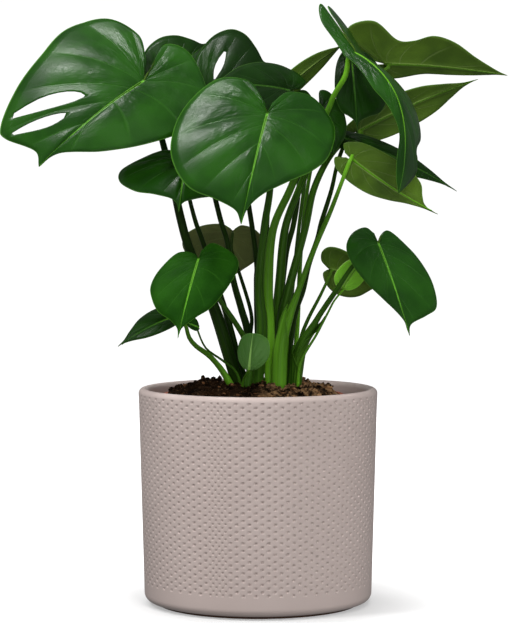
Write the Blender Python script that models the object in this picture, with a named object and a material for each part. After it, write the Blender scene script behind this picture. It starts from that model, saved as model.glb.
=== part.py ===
"""Potted monstera: a cover pot, the nursery pot inside it, potting soil, leaf stalks and leaf blades.

Metres, +Z up. The origin is the centre of the flat face under the pot's foot, and -Y is the front.
The plant is laid out in millimetres from the centre of the nursery pot's rim, at the plant's design
height, and every stalk and blade follows that rim and the plant's height.
"""

import math
from dataclasses import dataclass

import bmesh
import bpy
from mathutils import Matrix, Vector, noise

# Cover pot: glazed stoneware with a rounded lip and a recessed foot.
POT_HEIGHT = 0.217
POT_RIM_DIAMETER = 0.240
POT_BASE_DIAMETER = 0.229
POT_WALL = 0.010
POT_FLOOR = 0.009
POT_EDGE_RADIUS = 0.008
POT_INNER_FILLET = 0.010
FOOT_DIAMETER = 0.204
FOOT_HEIGHT = 0.003

# Nursery pot: thin moulded plastic, standing on the cover pot's floor a little left of its centre.
NURSERY_HEIGHT = 0.198
NURSERY_RIM_DIAMETER = 0.182
NURSERY_BASE_DIAMETER = 0.142
NURSERY_WALL = 0.0014
NURSERY_BAND_HEIGHT = 0.014
NURSERY_BAND_DEPTH = 0.002
NURSERY_SHIFT = -0.005
DRAIN_HOLES = 6
DRAIN_HOLE_DIAMETER = 0.009
DRAIN_CIRCLE_DIAMETER = 0.092

# Potting soil.
SOIL_RISE = 0.0115
SOIL_ROUGHNESS = 0.0035
SOIL_GRAIN = 0.016
STALK_DEPTH = 0.024

# Plant.
PLANT_HEIGHT = 0.3916
DESIGN_HEIGHT = 0.3916
BLADE_THICKNESS = 0.0010
STALK_STEP = 0.022
NECK_BEND = 2.5
FOOT_GAP = 0.0012

# Clearance between pieces that touch.
CLEARANCE = 0.0003

POT_SIDES = 56
NURSERY_SIDES = 48
SOIL_SIDES = 40
ARC_STEPS = 4

FLOOR_LEVEL = FOOT_HEIGHT + POT_FLOOR
NURSERY_BASE_LEVEL = FLOOR_LEVEL + CLEARANCE
NURSERY_RIM_LEVEL = NURSERY_BASE_LEVEL + NURSERY_HEIGHT
PLANT_CENTRE = Vector((0.0, 0.0, NURSERY_RIM_LEVEL))
GROWTH = PLANT_HEIGHT / DESIGN_HEIGHT
PLANT_UNIT = 0.001 * GROWTH


@dataclass(frozen=True)
class Girth:
    """Diameters of a leaf stalk: at its sheathed foot, along its shaft and at its neck."""

    foot: float
    shaft: float
    neck: float


STOUT = Girth(foot=0.0140, shaft=0.0092, neck=0.0050)
STURDY = Girth(foot=0.0118, shaft=0.0076, neck=0.0046)
MEDIUM = Girth(foot=0.0080, shaft=0.0056, neck=0.0036)
SHEATHED = Girth(foot=0.0122, shaft=0.0056, neck=0.0036)
SLIM = Girth(foot=0.0050, shaft=0.0040, neck=0.0028)
FINE = Girth(foot=0.0032, shaft=0.0026, neck=0.0018)

FOOT_PITCH = STOUT.foot * GROWTH + FOOT_GAP


# Outlines of half a blade that several leaves share.
HEART = ((0.08, -0.12), (0.42, -0.20), (0.82, -0.06), (1.00, 0.16), (0.96, 0.42), (0.72, 0.64),
         (0.36, 0.80), (0.08, 0.90))
BROAD = ((0.08, -0.10), (0.40, -0.15), (0.80, 0.00), (1.00, 0.25), (1.00, 0.50), (0.78, 0.68),
         (0.40, 0.76), (0.14, 0.82), (0.04, 0.88))
SHORT_LOBED = ((0.06, -0.06), (0.28, -0.12), (0.68, -0.05), (0.98, 0.12), (1.04, 0.34), (0.86, 0.56),
               (0.46, 0.74), (0.12, 0.88))
DEEP_LOBED = ((0.06, -0.20), (0.28, -0.50), (0.70, -0.46), (1.00, -0.12), (0.96, 0.30), (0.70, 0.60),
              (0.34, 0.80), (0.08, 0.92))
EVEN_TAPER = ((0.06, -0.06), (0.40, -0.14), (0.86, -0.04), (1.00, 0.14), (0.92, 0.34), (0.62, 0.52),
              (0.28, 0.68), (0.08, 0.84))
ROUND = ((0.12, -0.02), (0.50, 0.04), (0.88, 0.24), (0.98, 0.50), (0.84, 0.78), (0.46, 0.94),
         (0.12, 0.99))
TIP = (0.0, 1.0)


@dataclass(frozen=True)
class Slot:
    """A window in one half of a blade, between two ribs and two distances from the midrib."""

    side: int
    ribs: tuple
    reach: tuple


@dataclass(frozen=True)
class Leaf:
    """A blade and its stalk, in millimetres from the centre of the nursery pot's rim.

    joint is where the stalk meets the blade, and tip is the blade's point. left and right run from
    the midrib to the margin where each half is widest, seen from above the blade with its tip ahead.
    margins are the outlines of those halves, as (share of the half width, share of the midrib), from
    the notch by the joint round to the tip. arch lifts the midrib and curl drops the margins. foot
    is the stalk's place in the crown, in pitches of the stoutest stalk, and route is the points its
    centre line passes between the soil and the blade.
    """

    name: str
    joint: tuple
    tip: tuple
    left: tuple
    right: tuple
    girth: Girth
    foot: tuple
    route: tuple
    margins: tuple = (HEART, HEART)
    arch: float = 0.06
    curl: float = 0.12
    slots: tuple = ()


LEAVES = (
    Leaf(
        name="upper_left",
        joint=(-113, -20, 314),
        tip=(-213, -75, 228),
        left=(52, -29, -39),
        right=(-57, 41, 61),
        margins=(
            ((-0.10, -0.13), (-0.27, -0.33), (0.00, -0.40), (0.40, -0.34), (0.80, -0.20), (0.98, 0.08),
             (0.84, 0.36), (0.50, 0.64), (0.08, 0.84)),
            ((0.18, -0.12), (0.52, -0.22), (0.98, -0.14), (1.17, 0.13), (1.06, 0.45), (0.93, 0.74),
             (0.71, 1.00), (0.54, 1.04), (0.17, 0.95)),
        ),
        girth=STOUT,
        foot=(-1.15, 0.05),
        route=((-28, -2, 37), (-44, -4, 87), (-68, -6, 145), (-77, -8, 176), (-88, -4, 225), (-103, 4, 280)),
        slots=(Slot(1, (0.61, 0.685), (0.35, 0.92)), Slot(1, (0.73, 0.81), (0.38, 0.92))),
    ),
    Leaf(
        name="behind_upper_left",
        joint=(-97, 45, 315),
        tip=(-52, 75, 356),
        left=(-23, 8, 30),
        right=(27, -12, -14),
        girth=MEDIUM,
        foot=(-0.35, 1.55),
        route=((-10, 22, 58), (-17, 24, 85), (-25, 26, 114), (-31, 28, 152), (-38, 30, 175), (-54, 34, 236),
               (-74, 38, 286)),
    ),
    Leaf(
        name="top_middle",
        joint=(-53, 25, 304),
        tip=(12, 45, 334),
        left=(-2, 25, 56),
        right=(4, -12, -28),
        girth=MEDIUM,
        foot=(0.15, 2.25),
        route=((-1, 34, 104), (-1, 34, 129), (-7, 34, 175), (-18, 34, 236), (-36, 32, 280)),
        slots=(Slot(-1, (0.50, 0.60), (0.20, 0.62)),),
    ),
    Leaf(
        name="top_dark",
        joint=(32, -2, 305),
        tip=(-49, -32, 308),
        left=(0, -32, -27),
        right=(1, 22, 27),
        girth=MEDIUM,
        foot=(0.85, 1.70),
        route=((14, 34, 60), (23, 32, 100), (29, 30, 143), (36, 29, 170), (41, 26, 205), (42, 14, 255)),
    ),
    Leaf(
        name="top_folded",
        joint=(21, 22, 300),
        tip=(89, 34, 354),
        left=(4, 10, -9),
        right=(-7, -4, 9),
        girth=SLIM,
        foot=(0.8, 2.75),
        route=((8, 44, 93), (10, 44, 175), (14, 38, 246)),
    ),
    Leaf(
        name="front_centre",
        joint=(9, -70, 280),
        tip=(-16, -135, 173),
        left=(71, 1, 2),
        right=(-87, 1, 1),
        margins=(
            ((0.03, -0.10), (0.22, -0.21), (0.60, -0.15), (0.96, 0.12), (0.98, 0.40), (0.80, 0.55),
             (0.50, 0.66), (0.22, 0.76), (0.05, 0.87)),
            ((0.05, -0.10), (0.30, -0.32), (0.68, -0.35), (0.97, -0.08), (1.00, 0.26), (0.88, 0.50),
             (0.66, 0.69), (0.34, 0.80), (0.10, 0.89)),
        ),
        girth=STURDY,
        foot=(-0.1, -0.8),
        route=((4, -18, 66), (1, -20, 111), (6, -24, 166), (12, -30, 206), (13, -40, 245)),
    ),
    Leaf(
        name="middle_left",
        joint=(-71, -40, 237),
        tip=(-77, -80, 184),
        left=(44, 6, -1),
        right=(-64, 6, 2),
        margins=(
            BROAD,
            ((0.05, -0.08), (0.35, -0.15), (0.70, 0.01), (0.98, 0.22), (0.97, 0.45), (0.72, 0.64),
             (0.42, 0.71), (0.16, 0.78), (0.05, 0.86)),
        ),
        girth=MEDIUM,
        foot=(-0.65, 0.95),
        route=((-20, 12, 34), (-33, 10, 84), (-55, 4, 152), (-63, 0, 175), (-70, -8, 205)),
    ),
    Leaf(
        name="lower_left",
        joint=(-58, -75, 139),
        tip=(-77, -115, 63),
        left=(44, 5, 8),
        right=(-41, 0, -9),
        margins=(
            ((0.02, -0.10), (0.20, -0.18), (0.50, -0.10), (0.85, 0.05), (0.97, 0.22), (0.86, 0.45),
             (0.62, 0.68), (0.33, 0.78), (0.05, 0.88)),
            ((0.08, -0.06), (0.37, -0.14), (0.64, -0.14), (0.94, 0.02), (1.03, 0.22), (0.90, 0.41),
             (0.66, 0.60), (0.28, 0.76), (0.07, 0.88)),
        ),
        girth=MEDIUM,
        foot=(-0.75, -1.65),
        route=((-8, -22, 31), (-14, -30, 59), (-38, -45, 97), (-51, -55, 117)),
    ),
    Leaf(
        name="behind_stalks",
        joint=(-26, 75, 162),
        tip=(-33, 95, 106),
        left=(-48, 0, 6),
        right=(32, 0, 1),
        margins=(SHORT_LOBED, SHORT_LOBED),
        girth=SLIM,
        foot=(-0.55, 2.2),
        route=((-8, 38, 53), (-7, 42, 79), (-20, 48, 123), (-27, 56, 144)),
    ),
    Leaf(
        name="low_left",
        joint=(-81, -50, 82),
        tip=(-137, -72, 53),
        left=(5, -10, -7),
        right=(-5, 14, 13),
        margins=(SHORT_LOBED, SHORT_LOBED),
        girth=MEDIUM,
        foot=(-1.5, -1.75),
        route=((-33, -28, 22), (-47, -34, 40), (-61, -40, 51), (-68, -44, 60), (-72, -46, 73)),
    ),
    Leaf(
        name="at_soil",
        joint=(-9, -64, 29),
        tip=(-5, -58, 65),
        left=(-13, 2, 3),
        right=(19, -2, 1),
        margins=(ROUND, ROUND),
        girth=FINE,
        foot=(-1.05, -2.55),
        route=((-15, -40, 15), (-12, -50, 23)),
    ),
    Leaf(
        name="lower_right",
        joint=(118, -55, 154),
        tip=(147, -90, 64),
        left=(42, 6, -4),
        right=(-36, 6, 14),
        margins=(
            ((0.04, -0.02), (0.22, -0.13), (0.42, -0.14), (0.72, 0.02), (0.90, 0.20), (0.98, 0.42),
             (0.88, 0.66), (0.56, 0.77), (0.12, 0.88)),
            ((0.02, -0.10), (0.25, -0.13), (0.72, 0.01), (1.05, 0.22), (1.03, 0.42), (0.80, 0.58),
             (0.50, 0.69), (0.22, 0.78), (0.04, 0.86)),
        ),
        girth=SHEATHED,
        foot=(2.3, -1.05),
        route=((42, -24, 46), (58, -30, 76), (68, -34, 92), (78, -38, 107), (91, -42, 127), (106, -46, 145)),
    ),
    Leaf(
        name="young_bright",
        joint=(84, -22, 108),
        tip=(106, -20, 138),
        left=(11, 3, -8),
        right=(-16, -9, 4),
        margins=(ROUND, ROUND),
        girth=FINE,
        foot=(2.6, -1.9),
        route=((42, -32, 33), (58, -32, 62), (70, -32, 85), (76, -30, 96)),
    ),
    Leaf(
        name="behind_young",
        joint=(73, 15, 125),
        tip=(130, 28, 108),
        left=(-3, 6, -22),
        right=(-9, -8, 26),
        margins=(SHORT_LOBED, SHORT_LOBED),
        girth=SLIM,
        foot=(2.55, -0.2),
        route=((42, -6, 50), (49, -4, 73), (63, 2, 100)),
    ),
    Leaf(
        name="upper_right",
        joint=(97, -20, 342),
        tip=(137, -70, 202),
        left=(22, 36, -8),
        right=(-30, -10, -10),
        margins=(
            ((0.04, -0.12), (0.10, -0.38), (0.40, -0.43), (0.80, -0.28), (0.64, -0.05), (0.66, 0.10),
             (0.86, 0.24), (1.00, 0.44), (0.92, 0.64), (0.60, 0.74), (0.70, 0.86), (0.30, 0.95)),
            ((0.03, -0.12), (0.03, -0.40), (0.18, -0.42), (0.38, -0.30), (0.36, -0.12), (0.40, 0.06),
             (0.50, 0.20), (0.54, 0.32), (0.44, 0.42), (0.32, 0.52), (0.20, 0.66), (0.26, 0.80),
             (0.20, 0.91)),
        ),
        girth=STURDY,
        foot=(0.85, -0.7),
        route=((11, -4, 65), (10, -2, 110), (15, 2, 165), (32, 4, 205), (47, 0, 240), (69, -6, 283),
               (76, -10, 300), (87, -16, 319)),
        arch=0.24,
    ),
    Leaf(
        name="far_right",
        joint=(130, 68, 334),
        tip=(260, 105, 324),
        left=(-7, 8, -14),
        right=(-4, -12, 33),
        margins=(
            ((0.10, -0.10), (0.50, -0.20), (0.95, -0.05), (0.95, 0.15), (0.58, 0.36), (0.50, 0.56),
             (0.34, 0.75), (0.10, 0.90)),
            ((0.10, -0.12), (0.64, -0.28), (1.16, -0.26), (1.36, -0.06), (0.78, 0.12), (0.76, 0.26),
             (0.97, 0.43), (0.82, 0.60), (0.42, 0.76), (0.10, 0.92)),
        ),
        girth=STURDY,
        foot=(0.7, 0.75),
        route=((18, 14, 64), (22, 10, 110), (27, 10, 165), (41, 14, 205), (59, 24, 245), (92, 50, 300)),
    ),
    Leaf(
        name="right_under",
        joint=(104, 90, 266),
        tip=(229, 100, 320),
        left=(13, 8, -15),
        right=(-6, -6, 16),
        margins=(SHORT_LOBED, SHORT_LOBED),
        girth=STURDY,
        foot=(1.45, 0.1),
        route=((23, 2, 65), (32, 2, 110), (47, 8, 165), (56, 18, 205), (71, 30, 236), (88, 56, 254)),
    ),
    Leaf(
        name="right_low_folded",
        joint=(94, -5, 235),
        tip=(178, -35, 181),
        left=(-14, -8, -15),
        right=(14, 10, 20),
        margins=(EVEN_TAPER, BROAD),
        girth=SHEATHED,
        foot=(1.36, -1.9),
        route=((22, -27, 44), (27, -26, 66), (34, -24, 88), (41, -21, 107), (51, -17, 134), (60, -13, 156),
               (71, -15, 181), (81, -19, 207), (88, -21, 226)),
    ),
    Leaf(
        name="right_finger",
        joint=(88, 32, 258),
        tip=(199, -6, 204),
        left=(5, 9, 9),
        right=(-6, -7, -12),
        margins=(SHORT_LOBED, SHORT_LOBED),
        girth=MEDIUM,
        foot=(1.75, 0.95),
        route=((35, 6, 73), (45, 4, 104), (51, 6, 130), (60, 10, 156), (64, 12, 173), (74, 16, 205),
               (80, 22, 231)),
    ),
    Leaf(
        name="behind_centre",
        joint=(63, 22, 284),
        tip=(77, 6, 240),
        left=(23, 0, 1),
        right=(-25, 0, 1),
        margins=(DEEP_LOBED, DEEP_LOBED),
        girth=SLIM,
        foot=(1.7, 1.9),
        route=((31, 32, 63), (38, 36, 134), (45, 36, 195), (53, 32, 246)),
    ),
    Leaf(
        name="dark_right",
        joint=(95, 32, 336),
        tip=(100, 8, 261),
        left=(32, -1, -3),
        right=(-19, -1, -2),
        margins=(BROAD, BROAD),
        girth=SLIM,
        foot=(2.3, 2.1),
        route=((40, 38, 64), (44, 46, 145), (52, 53, 215), (65, 54, 270), (80, 48, 306)),
    ),
    Leaf(
        name="tiny_curled",
        joint=(-59, -28, 69),
        tip=(-72, -29, 74),
        left=(2, -5, -5),
        right=(1, 4, 8),
        margins=(ROUND, ROUND),
        girth=FINE,
        foot=(-1.1, -0.95),
        route=((-21, -15, 22), (-35, -18, 35), (-52, -22, 48)),
    ),
)

RIB_COUNT = 8
REACH_LINES = (0.0, 0.4, 0.75, 1.0)
LOBE_SHARE = 0.28
LAST_RIB_START = 0.9
RIB_SWEEP = 2.2
LOBE_FALL = 1.5


def clear_scene():
    """Remove every object of the startup scene."""
    for obj in list(bpy.data.objects):
        bpy.data.objects.remove(obj, do_unlink=True)


def plain_material(name, colour, roughness):
    """Make a Principled BSDF material with one colour."""
    material = bpy.data.materials.new(name)
    material.use_nodes = True
    shader = material.node_tree.nodes["Principled BSDF"]
    shader.inputs["Base Color"].default_value = (*colour, 1.0)
    shader.inputs["Roughness"].default_value = roughness
    shader.inputs["Metallic"].default_value = 0.0
    material.diffuse_color = (*colour, 1.0)
    return material


def add_object(name, data, material):
    """Link a new object that shows data in material."""
    data.materials.append(material)
    obj = bpy.data.objects.new(name, data)
    bpy.context.scene.collection.objects.link(obj)
    return obj


def finish_mesh(name, bm, material):
    """Turn bm into a smooth-shaded object with sharp corners kept."""
    mesh = bpy.data.meshes.new(name)
    bm.to_mesh(mesh)
    bm.free()
    mesh.shade_smooth()
    mesh.set_sharp_from_angle(angle=math.radians(40))
    return add_object(name, mesh, material)


def arc(centre, radius, start, end, steps=ARC_STEPS):
    """Points (r, z) on an arc from start to end degrees, both included."""
    angles = [math.radians(start + (end - start) * i / steps) for i in range(steps + 1)]
    return [(centre[0] + radius * math.cos(a), centre[1] + radius * math.sin(a)) for a in angles]


def turned(profile, sides):
    """Revolve a profile of (r, z) points, which starts and ends on the axis, into a closed mesh."""
    bm = bmesh.new()
    verts = [bm.verts.new((r, 0.0, z)) for r, z in profile]
    edges = [bm.edges.new(pair) for pair in zip(verts, verts[1:])]
    bmesh.ops.spin(
        bm,
        geom=verts + edges,
        cent=(0, 0, 0),
        axis=(0, 0, 1),
        angle=math.tau,
        steps=sides,
        use_merge=True,
    )
    bmesh.ops.remove_doubles(bm, verts=bm.verts, dist=1e-6)
    bmesh.ops.recalc_face_normals(bm, faces=bm.faces)
    return bm


def taper_radius(base_radius, rim_radius, low, high, z):
    """Radius at height z of a wall that runs straight from its base to its rim."""
    return base_radius + (rim_radius - base_radius) * (z - low) / (high - low)


def make_cover_pot():
    """The stoneware pot, solid round its foot and open at the top."""
    rim = POT_RIM_DIAMETER / 2
    base = POT_BASE_DIAMETER / 2
    foot = FOOT_DIAMETER / 2
    lip = POT_WALL / 2
    edge = POT_EDGE_RADIUS
    fillet = POT_INNER_FILLET
    shoulder = FOOT_HEIGHT + edge
    inner_low = FLOOR_LEVEL + fillet
    inner = taper_radius(base, rim, shoulder, POT_HEIGHT - lip, inner_low) - POT_WALL
    profile = [(0, 0), (foot, 0), (foot, FOOT_HEIGHT)]
    profile += arc((base - edge, shoulder), edge, -90, 0)
    profile += arc((rim - lip, POT_HEIGHT - lip), lip, 0, 180, 2 * ARC_STEPS)
    profile += arc((inner - fillet, inner_low), fillet, 0, -90)
    profile += [(0, FLOOR_LEVEL)]
    material = plain_material("stoneware_glaze", (0.45, 0.38, 0.35), 0.45)
    return finish_mesh("cover_pot", turned(profile, POT_SIDES), material)


def nursery_inner_radius(z):
    """Inner radius of the nursery pot at height z above its own base."""
    base = NURSERY_BASE_DIAMETER / 2
    below_band = NURSERY_RIM_DIAMETER / 2 - NURSERY_BAND_DEPTH
    outer = taper_radius(base, below_band, 0, NURSERY_HEIGHT - NURSERY_BAND_HEIGHT, z)
    return min(outer, below_band) - NURSERY_WALL


def make_nursery_pot():
    """The thin plastic pot the plant grows in, with a rim band and drain holes."""
    rim = NURSERY_RIM_DIAMETER / 2
    below_band = rim - NURSERY_BAND_DEPTH
    band_low = NURSERY_HEIGHT - NURSERY_BAND_HEIGHT
    profile = [
        (0, 0),
        (NURSERY_BASE_DIAMETER / 2, 0),
        (below_band, band_low),
        (rim, band_low + NURSERY_WALL),
        (rim, NURSERY_HEIGHT),
        (nursery_inner_radius(NURSERY_HEIGHT), NURSERY_HEIGHT),
        (nursery_inner_radius(band_low), band_low),
        (nursery_inner_radius(NURSERY_WALL), NURSERY_WALL),
        (0, NURSERY_WALL),
    ]
    material = plain_material("nursery_plastic", (0.33, 0.10, 0.05), 0.6)
    pot = finish_mesh("nursery_pot", turned(profile, NURSERY_SIDES), material)
    pot.location = (NURSERY_SHIFT, 0, NURSERY_BASE_LEVEL)
    for index in range(DRAIN_HOLES):
        angle = math.tau * (index + 0.5) / DRAIN_HOLES + math.pi / NURSERY_SIDES
        radius = DRAIN_CIRCLE_DIAMETER / 2
        at = Vector((radius * math.cos(angle), radius * math.sin(angle), 0)) + pot.location
        bm = bmesh.new()
        bmesh.ops.create_cone(
            bm,
            cap_ends=True,
            segments=12,
            radius1=DRAIN_HOLE_DIAMETER / 2,
            radius2=DRAIN_HOLE_DIAMETER / 2,
            depth=4 * NURSERY_WALL,
        )
        bmesh.ops.rotate(bm, verts=bm.verts, matrix=Matrix.Rotation(angle + math.pi / 12, 3, "Z"))
        cutter = finish_mesh(f"drain_cutter_{index + 1}", bm, material)
        cutter.location = at
        cut_with(pot, cutter)
    return pot


def cut_with(obj, cutter):
    """Subtract cutter from obj and keep the cutter out of the model."""
    cutter.hide_render = True
    cutter.display_type = "WIRE"
    modifier = obj.modifiers.new(f"cut {cutter.name}", "BOOLEAN")
    modifier.operation = "DIFFERENCE"
    modifier.solver = "EXACT"
    modifier.object = cutter


def soil_height(x, y, edge_radius):
    """Height of the soil's surface above the nursery pot's rim, over a point from its own axis."""
    out = min(1.0, math.hypot(x, y) / edge_radius)
    mound = SOIL_RISE * (1 - out**7) - CLEARANCE
    lumps = noise.noise(Vector((x, y, 0.31)) / SOIL_GRAIN)
    return mound + SOIL_ROUGHNESS * lumps * (1 - 0.6 * out**6)


def make_soil():
    """The potting soil: it fills the nursery pot and heaps up round the crown."""
    bottom = NURSERY_WALL + CLEARANCE
    band_low = NURSERY_HEIGHT - NURSERY_BAND_HEIGHT
    top_radius = nursery_inner_radius(NURSERY_HEIGHT) - CLEARANCE
    profile = [
        (0, bottom),
        (nursery_inner_radius(bottom) - CLEARANCE, bottom),
        (nursery_inner_radius(band_low) - CLEARANCE, band_low),
        (top_radius, NURSERY_HEIGHT - CLEARANCE),
    ]
    rings = (0.96, 0.82, 0.66, 0.50, 0.33, 0.16, 0.0)
    profile += [(top_radius * share, NURSERY_HEIGHT) for share in rings]
    bm = turned(profile, SOIL_SIDES)
    for vert in bm.verts:
        if vert.co.z >= NURSERY_HEIGHT - CLEARANCE / 2:
            vert.co.z = NURSERY_HEIGHT + soil_height(vert.co.x, vert.co.y, top_radius)
    material = plain_material("potting_soil", (0.06, 0.03, 0.015), 0.95)
    soil = finish_mesh("potting_soil", bm, material)
    soil.location = (NURSERY_SHIFT, 0, NURSERY_BASE_LEVEL)
    return soil


def plant_point(point):
    """A point of the plant's layout, in metres in the pot's frame."""
    return PLANT_CENTRE + Vector(point) * PLANT_UNIT


def smooth_points(points, step):
    """Points a step apart on a smooth curve through the given ones (Catmull-Rom)."""
    ends = [points[0] * 2 - points[1], *points, points[-1] * 2 - points[-2]]
    smooth = [points[0]]
    for a, b, c, d in zip(ends, ends[1:], ends[2:], ends[3:]):
        pieces = max(1, round((c - b).length / step))
        for i in range(1, pieces + 1):
            t = i / pieces
            smooth.append(
                0.5 * (2 * b + (c - a) * t + (2 * a - 5 * b + 4 * c - d) * t**2
                       + (3 * b - a - 3 * c + d) * t**3)
            )
    return smooth


def between(low, high, share):
    """A value that eases from low to high as share runs from 0 to 1."""
    share = min(1.0, max(0.0, share))
    return low + (high - low) * share * share * (3 - 2 * share)


def stalk_radius(girth, share):
    """Radius of a stalk at a share of its length: a sheathed foot, a long shaft and a slim neck."""
    if share < 0.55:
        diameter = between(girth.foot, girth.shaft, (share - 0.2) / 0.35)
    else:
        diameter = between(girth.shaft, girth.neck, (share - 0.55) / 0.45)
    return GROWTH * diameter / 2


def blade_up(leaf):
    """Unit vector out of the blade's upper face."""
    across = Vector(leaf.right) - Vector(leaf.left)
    along = Vector(leaf.tip) - Vector(leaf.joint)
    return across.cross(along).normalized()


def stalk_path(leaf):
    """Centre line of a leaf's stalk, from inside the soil to just under the blade."""
    foot = PLANT_CENTRE + Vector((leaf.foot[0], leaf.foot[1], 0)) * FOOT_PITCH
    up = blade_up(leaf)
    along = (Vector(leaf.tip) - Vector(leaf.joint)).normalized()
    joint = plant_point(leaf.joint)
    neck = GROWTH * leaf.girth.neck
    radius = neck / 2
    under = joint + along * radius - up * (BLADE_THICKNESS + CLEARANCE)
    bend = joint - up * neck * NECK_BEND
    arrival = (under - bend).normalized()
    lean = math.sqrt(max(0.0, 1 - arrival.dot(up) ** 2))
    end = under - up * (radius * lean)
    points = [
        foot - Vector((0, 0, STALK_DEPTH)),
        foot,
        *[plant_point(p) for p in leaf.route],
        bend,
        end,
    ]
    return smooth_points(points, STALK_STEP)


def tube(name, points, radii, material):
    """A round tube along points with a radius at each, closed at both ends."""
    curve = bpy.data.curves.new(name, "CURVE")
    curve.dimensions = "3D"
    curve.bevel_depth = 1.0
    curve.bevel_resolution = 2
    curve.use_fill_caps = True
    spline = curve.splines.new("POLY")
    spline.points.add(len(points) - 1)
    for place, point, radius in zip(spline.points, points, radii):
        place.co = (*point, 1.0)
        place.radius = radius
    return add_object(name, curve, material)


def make_stalk(leaf, soil):
    """A leaf's stalk, standing in a socket that it leaves in the soil."""
    points = stalk_path(leaf)
    last = len(points) - 1
    radii = [stalk_radius(leaf.girth, i / last) for i in range(last + 1)]
    material = plain_material(f"stalk_{leaf.name}", (0.09, 0.22, 0.03), 0.4)
    stalk = tube(f"stalk_{leaf.name}", points, radii, material)
    buried = [p for p in points if p.z < NURSERY_RIM_LEVEL + 4 * SOIL_RISE]
    deepest = buried[0] - Vector((0, 0, CLEARANCE))
    wider = CLEARANCE / math.cos(math.pi / 8)
    guide = tube(
        f"socket_guide_{leaf.name}",
        [deepest, *buried[1:]],
        [radius + wider for radius in radii[: len(buried)]],
        material,
    )
    graph = bpy.context.evaluated_depsgraph_get()
    mesh = bpy.data.meshes.new_from_object(guide.evaluated_get(graph))
    bpy.data.objects.remove(guide, do_unlink=True)
    cutter = bpy.data.objects.new(f"socket_{leaf.name}", mesh)
    bpy.context.scene.collection.objects.link(cutter)
    cut_with(soil, cutter)
    return stalk


def on_curve(points, share):
    """Point at a share of a smooth curve through points that are evenly apart."""
    place = share * (len(points) - 1)
    index = min(int(place), len(points) - 2)
    t = place - index
    b, c = points[index], points[index + 1]
    a = points[index - 1] if index else b * 2 - c
    d = points[index + 2] if index + 2 < len(points) else c * 2 - b
    return 0.5 * (2 * b + (c - a) * t + (2 * a - 5 * b + 4 * c - d) * t**2 + (3 * b - a - 3 * c + d) * t**3)


def rib_start(rib):
    """Where a rib leaves the midrib: the lobes' ribs all fan out from the joint."""
    past_lobe = max(0.0, (rib - LOBE_SHARE) / (1 - LOBE_SHARE))
    return LAST_RIB_START * past_lobe**RIB_SWEEP


def flat_half(bm, side, leaf):
    """Add half of a blade to bm, in the plane of its width and its midrib."""
    margin = [Vector(point) for point in (*leaf.margins[side > 0], TIP)]
    ribs = sorted({i / RIB_COUNT for i in range(RIB_COUNT + 1)} | {r for s in leaf.slots for r in s.ribs})
    slots = [s for s in leaf.slots if s.side == side]
    reaches = sorted(set(REACH_LINES) | {w for s in leaf.slots for w in s.reach})
    rows = []
    for rib in ribs:
        start = Vector((0.0, rib_start(rib)))
        end = on_curve(margin, rib)
        places = [start.lerp(end, w) for w in reaches]
        rows.append([bm.verts.new((side * p.x, p.y, 0)) for p in places])
    for (low, high), (row, following) in zip(zip(ribs, ribs[1:]), zip(rows, rows[1:])):
        for k, (near, far) in enumerate(zip(reaches, reaches[1:])):
            if any(s.ribs[0] <= low and high <= s.ribs[1] and s.reach[0] <= near and far <= s.reach[1]
                   for s in slots):
                continue
            corners = [row[k], row[k + 1], following[k + 1], following[k]]
            bm.faces.new(corners if side > 0 else corners[::-1])


def make_blade(leaf):
    """A leaf's blade: a flat outline bent over its midrib and given its thickness."""
    bm = bmesh.new()
    for side in (-1, 1):
        flat_half(bm, side, leaf)
    bmesh.ops.remove_doubles(bm, verts=bm.verts, dist=1e-4)
    bmesh.ops.dissolve_degenerate(bm, edges=bm.edges, dist=1e-4)
    joint, tip = plant_point(leaf.joint), plant_point(leaf.tip)
    up = blade_up(leaf)
    length = (tip - joint).length
    for vert in bm.verts:
        u, v, _ = vert.co
        half = Vector(leaf.right if u > 0 else leaf.left) * PLANT_UNIT
        rise = leaf.arch * length * (4 * v * (1 - v) if v > 0 else LOBE_FALL * v)
        drop = leaf.curl * half.length * u * u
        vert.co = joint + (tip - joint) * v + half * abs(u) + up * (rise - drop)
    material = plain_material(f"leaf_{leaf.name}", (0.03, 0.13, 0.02), 0.35)
    blade = finish_mesh(f"leaf_{leaf.name}", bm, material)
    solid = blade.modifiers.new("thickness", "SOLIDIFY")
    solid.thickness = BLADE_THICKNESS
    solid.offset = -1
    return blade


def main():
    """Build every piece of the potted plant."""
    clear_scene()
    make_cover_pot()
    make_nursery_pot()
    soil = make_soil()
    for leaf in LEAVES:
        make_stalk(leaf, soil)
        make_blade(leaf)


main()
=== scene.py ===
"""Looks for the potted monstera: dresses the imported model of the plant, its soil and its pots.

Metres, +Z up, -Y is the front. The pots' sizes come from the frame's nodes. The plant's layout is in
millimetres from the centre of the nursery pot's rim, as its solids are.
"""

import logging
import math
import random
from collections.abc import Iterable
from dataclasses import dataclass, replace
from enum import Enum

import bmesh
import bpy
from bmesh.types import BMEdge, BMesh, BMVert
from bpy.types import Light, Material, Modifier, Node, NodeSocket, Object, World
from mathutils import Matrix, Vector, noise

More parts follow.
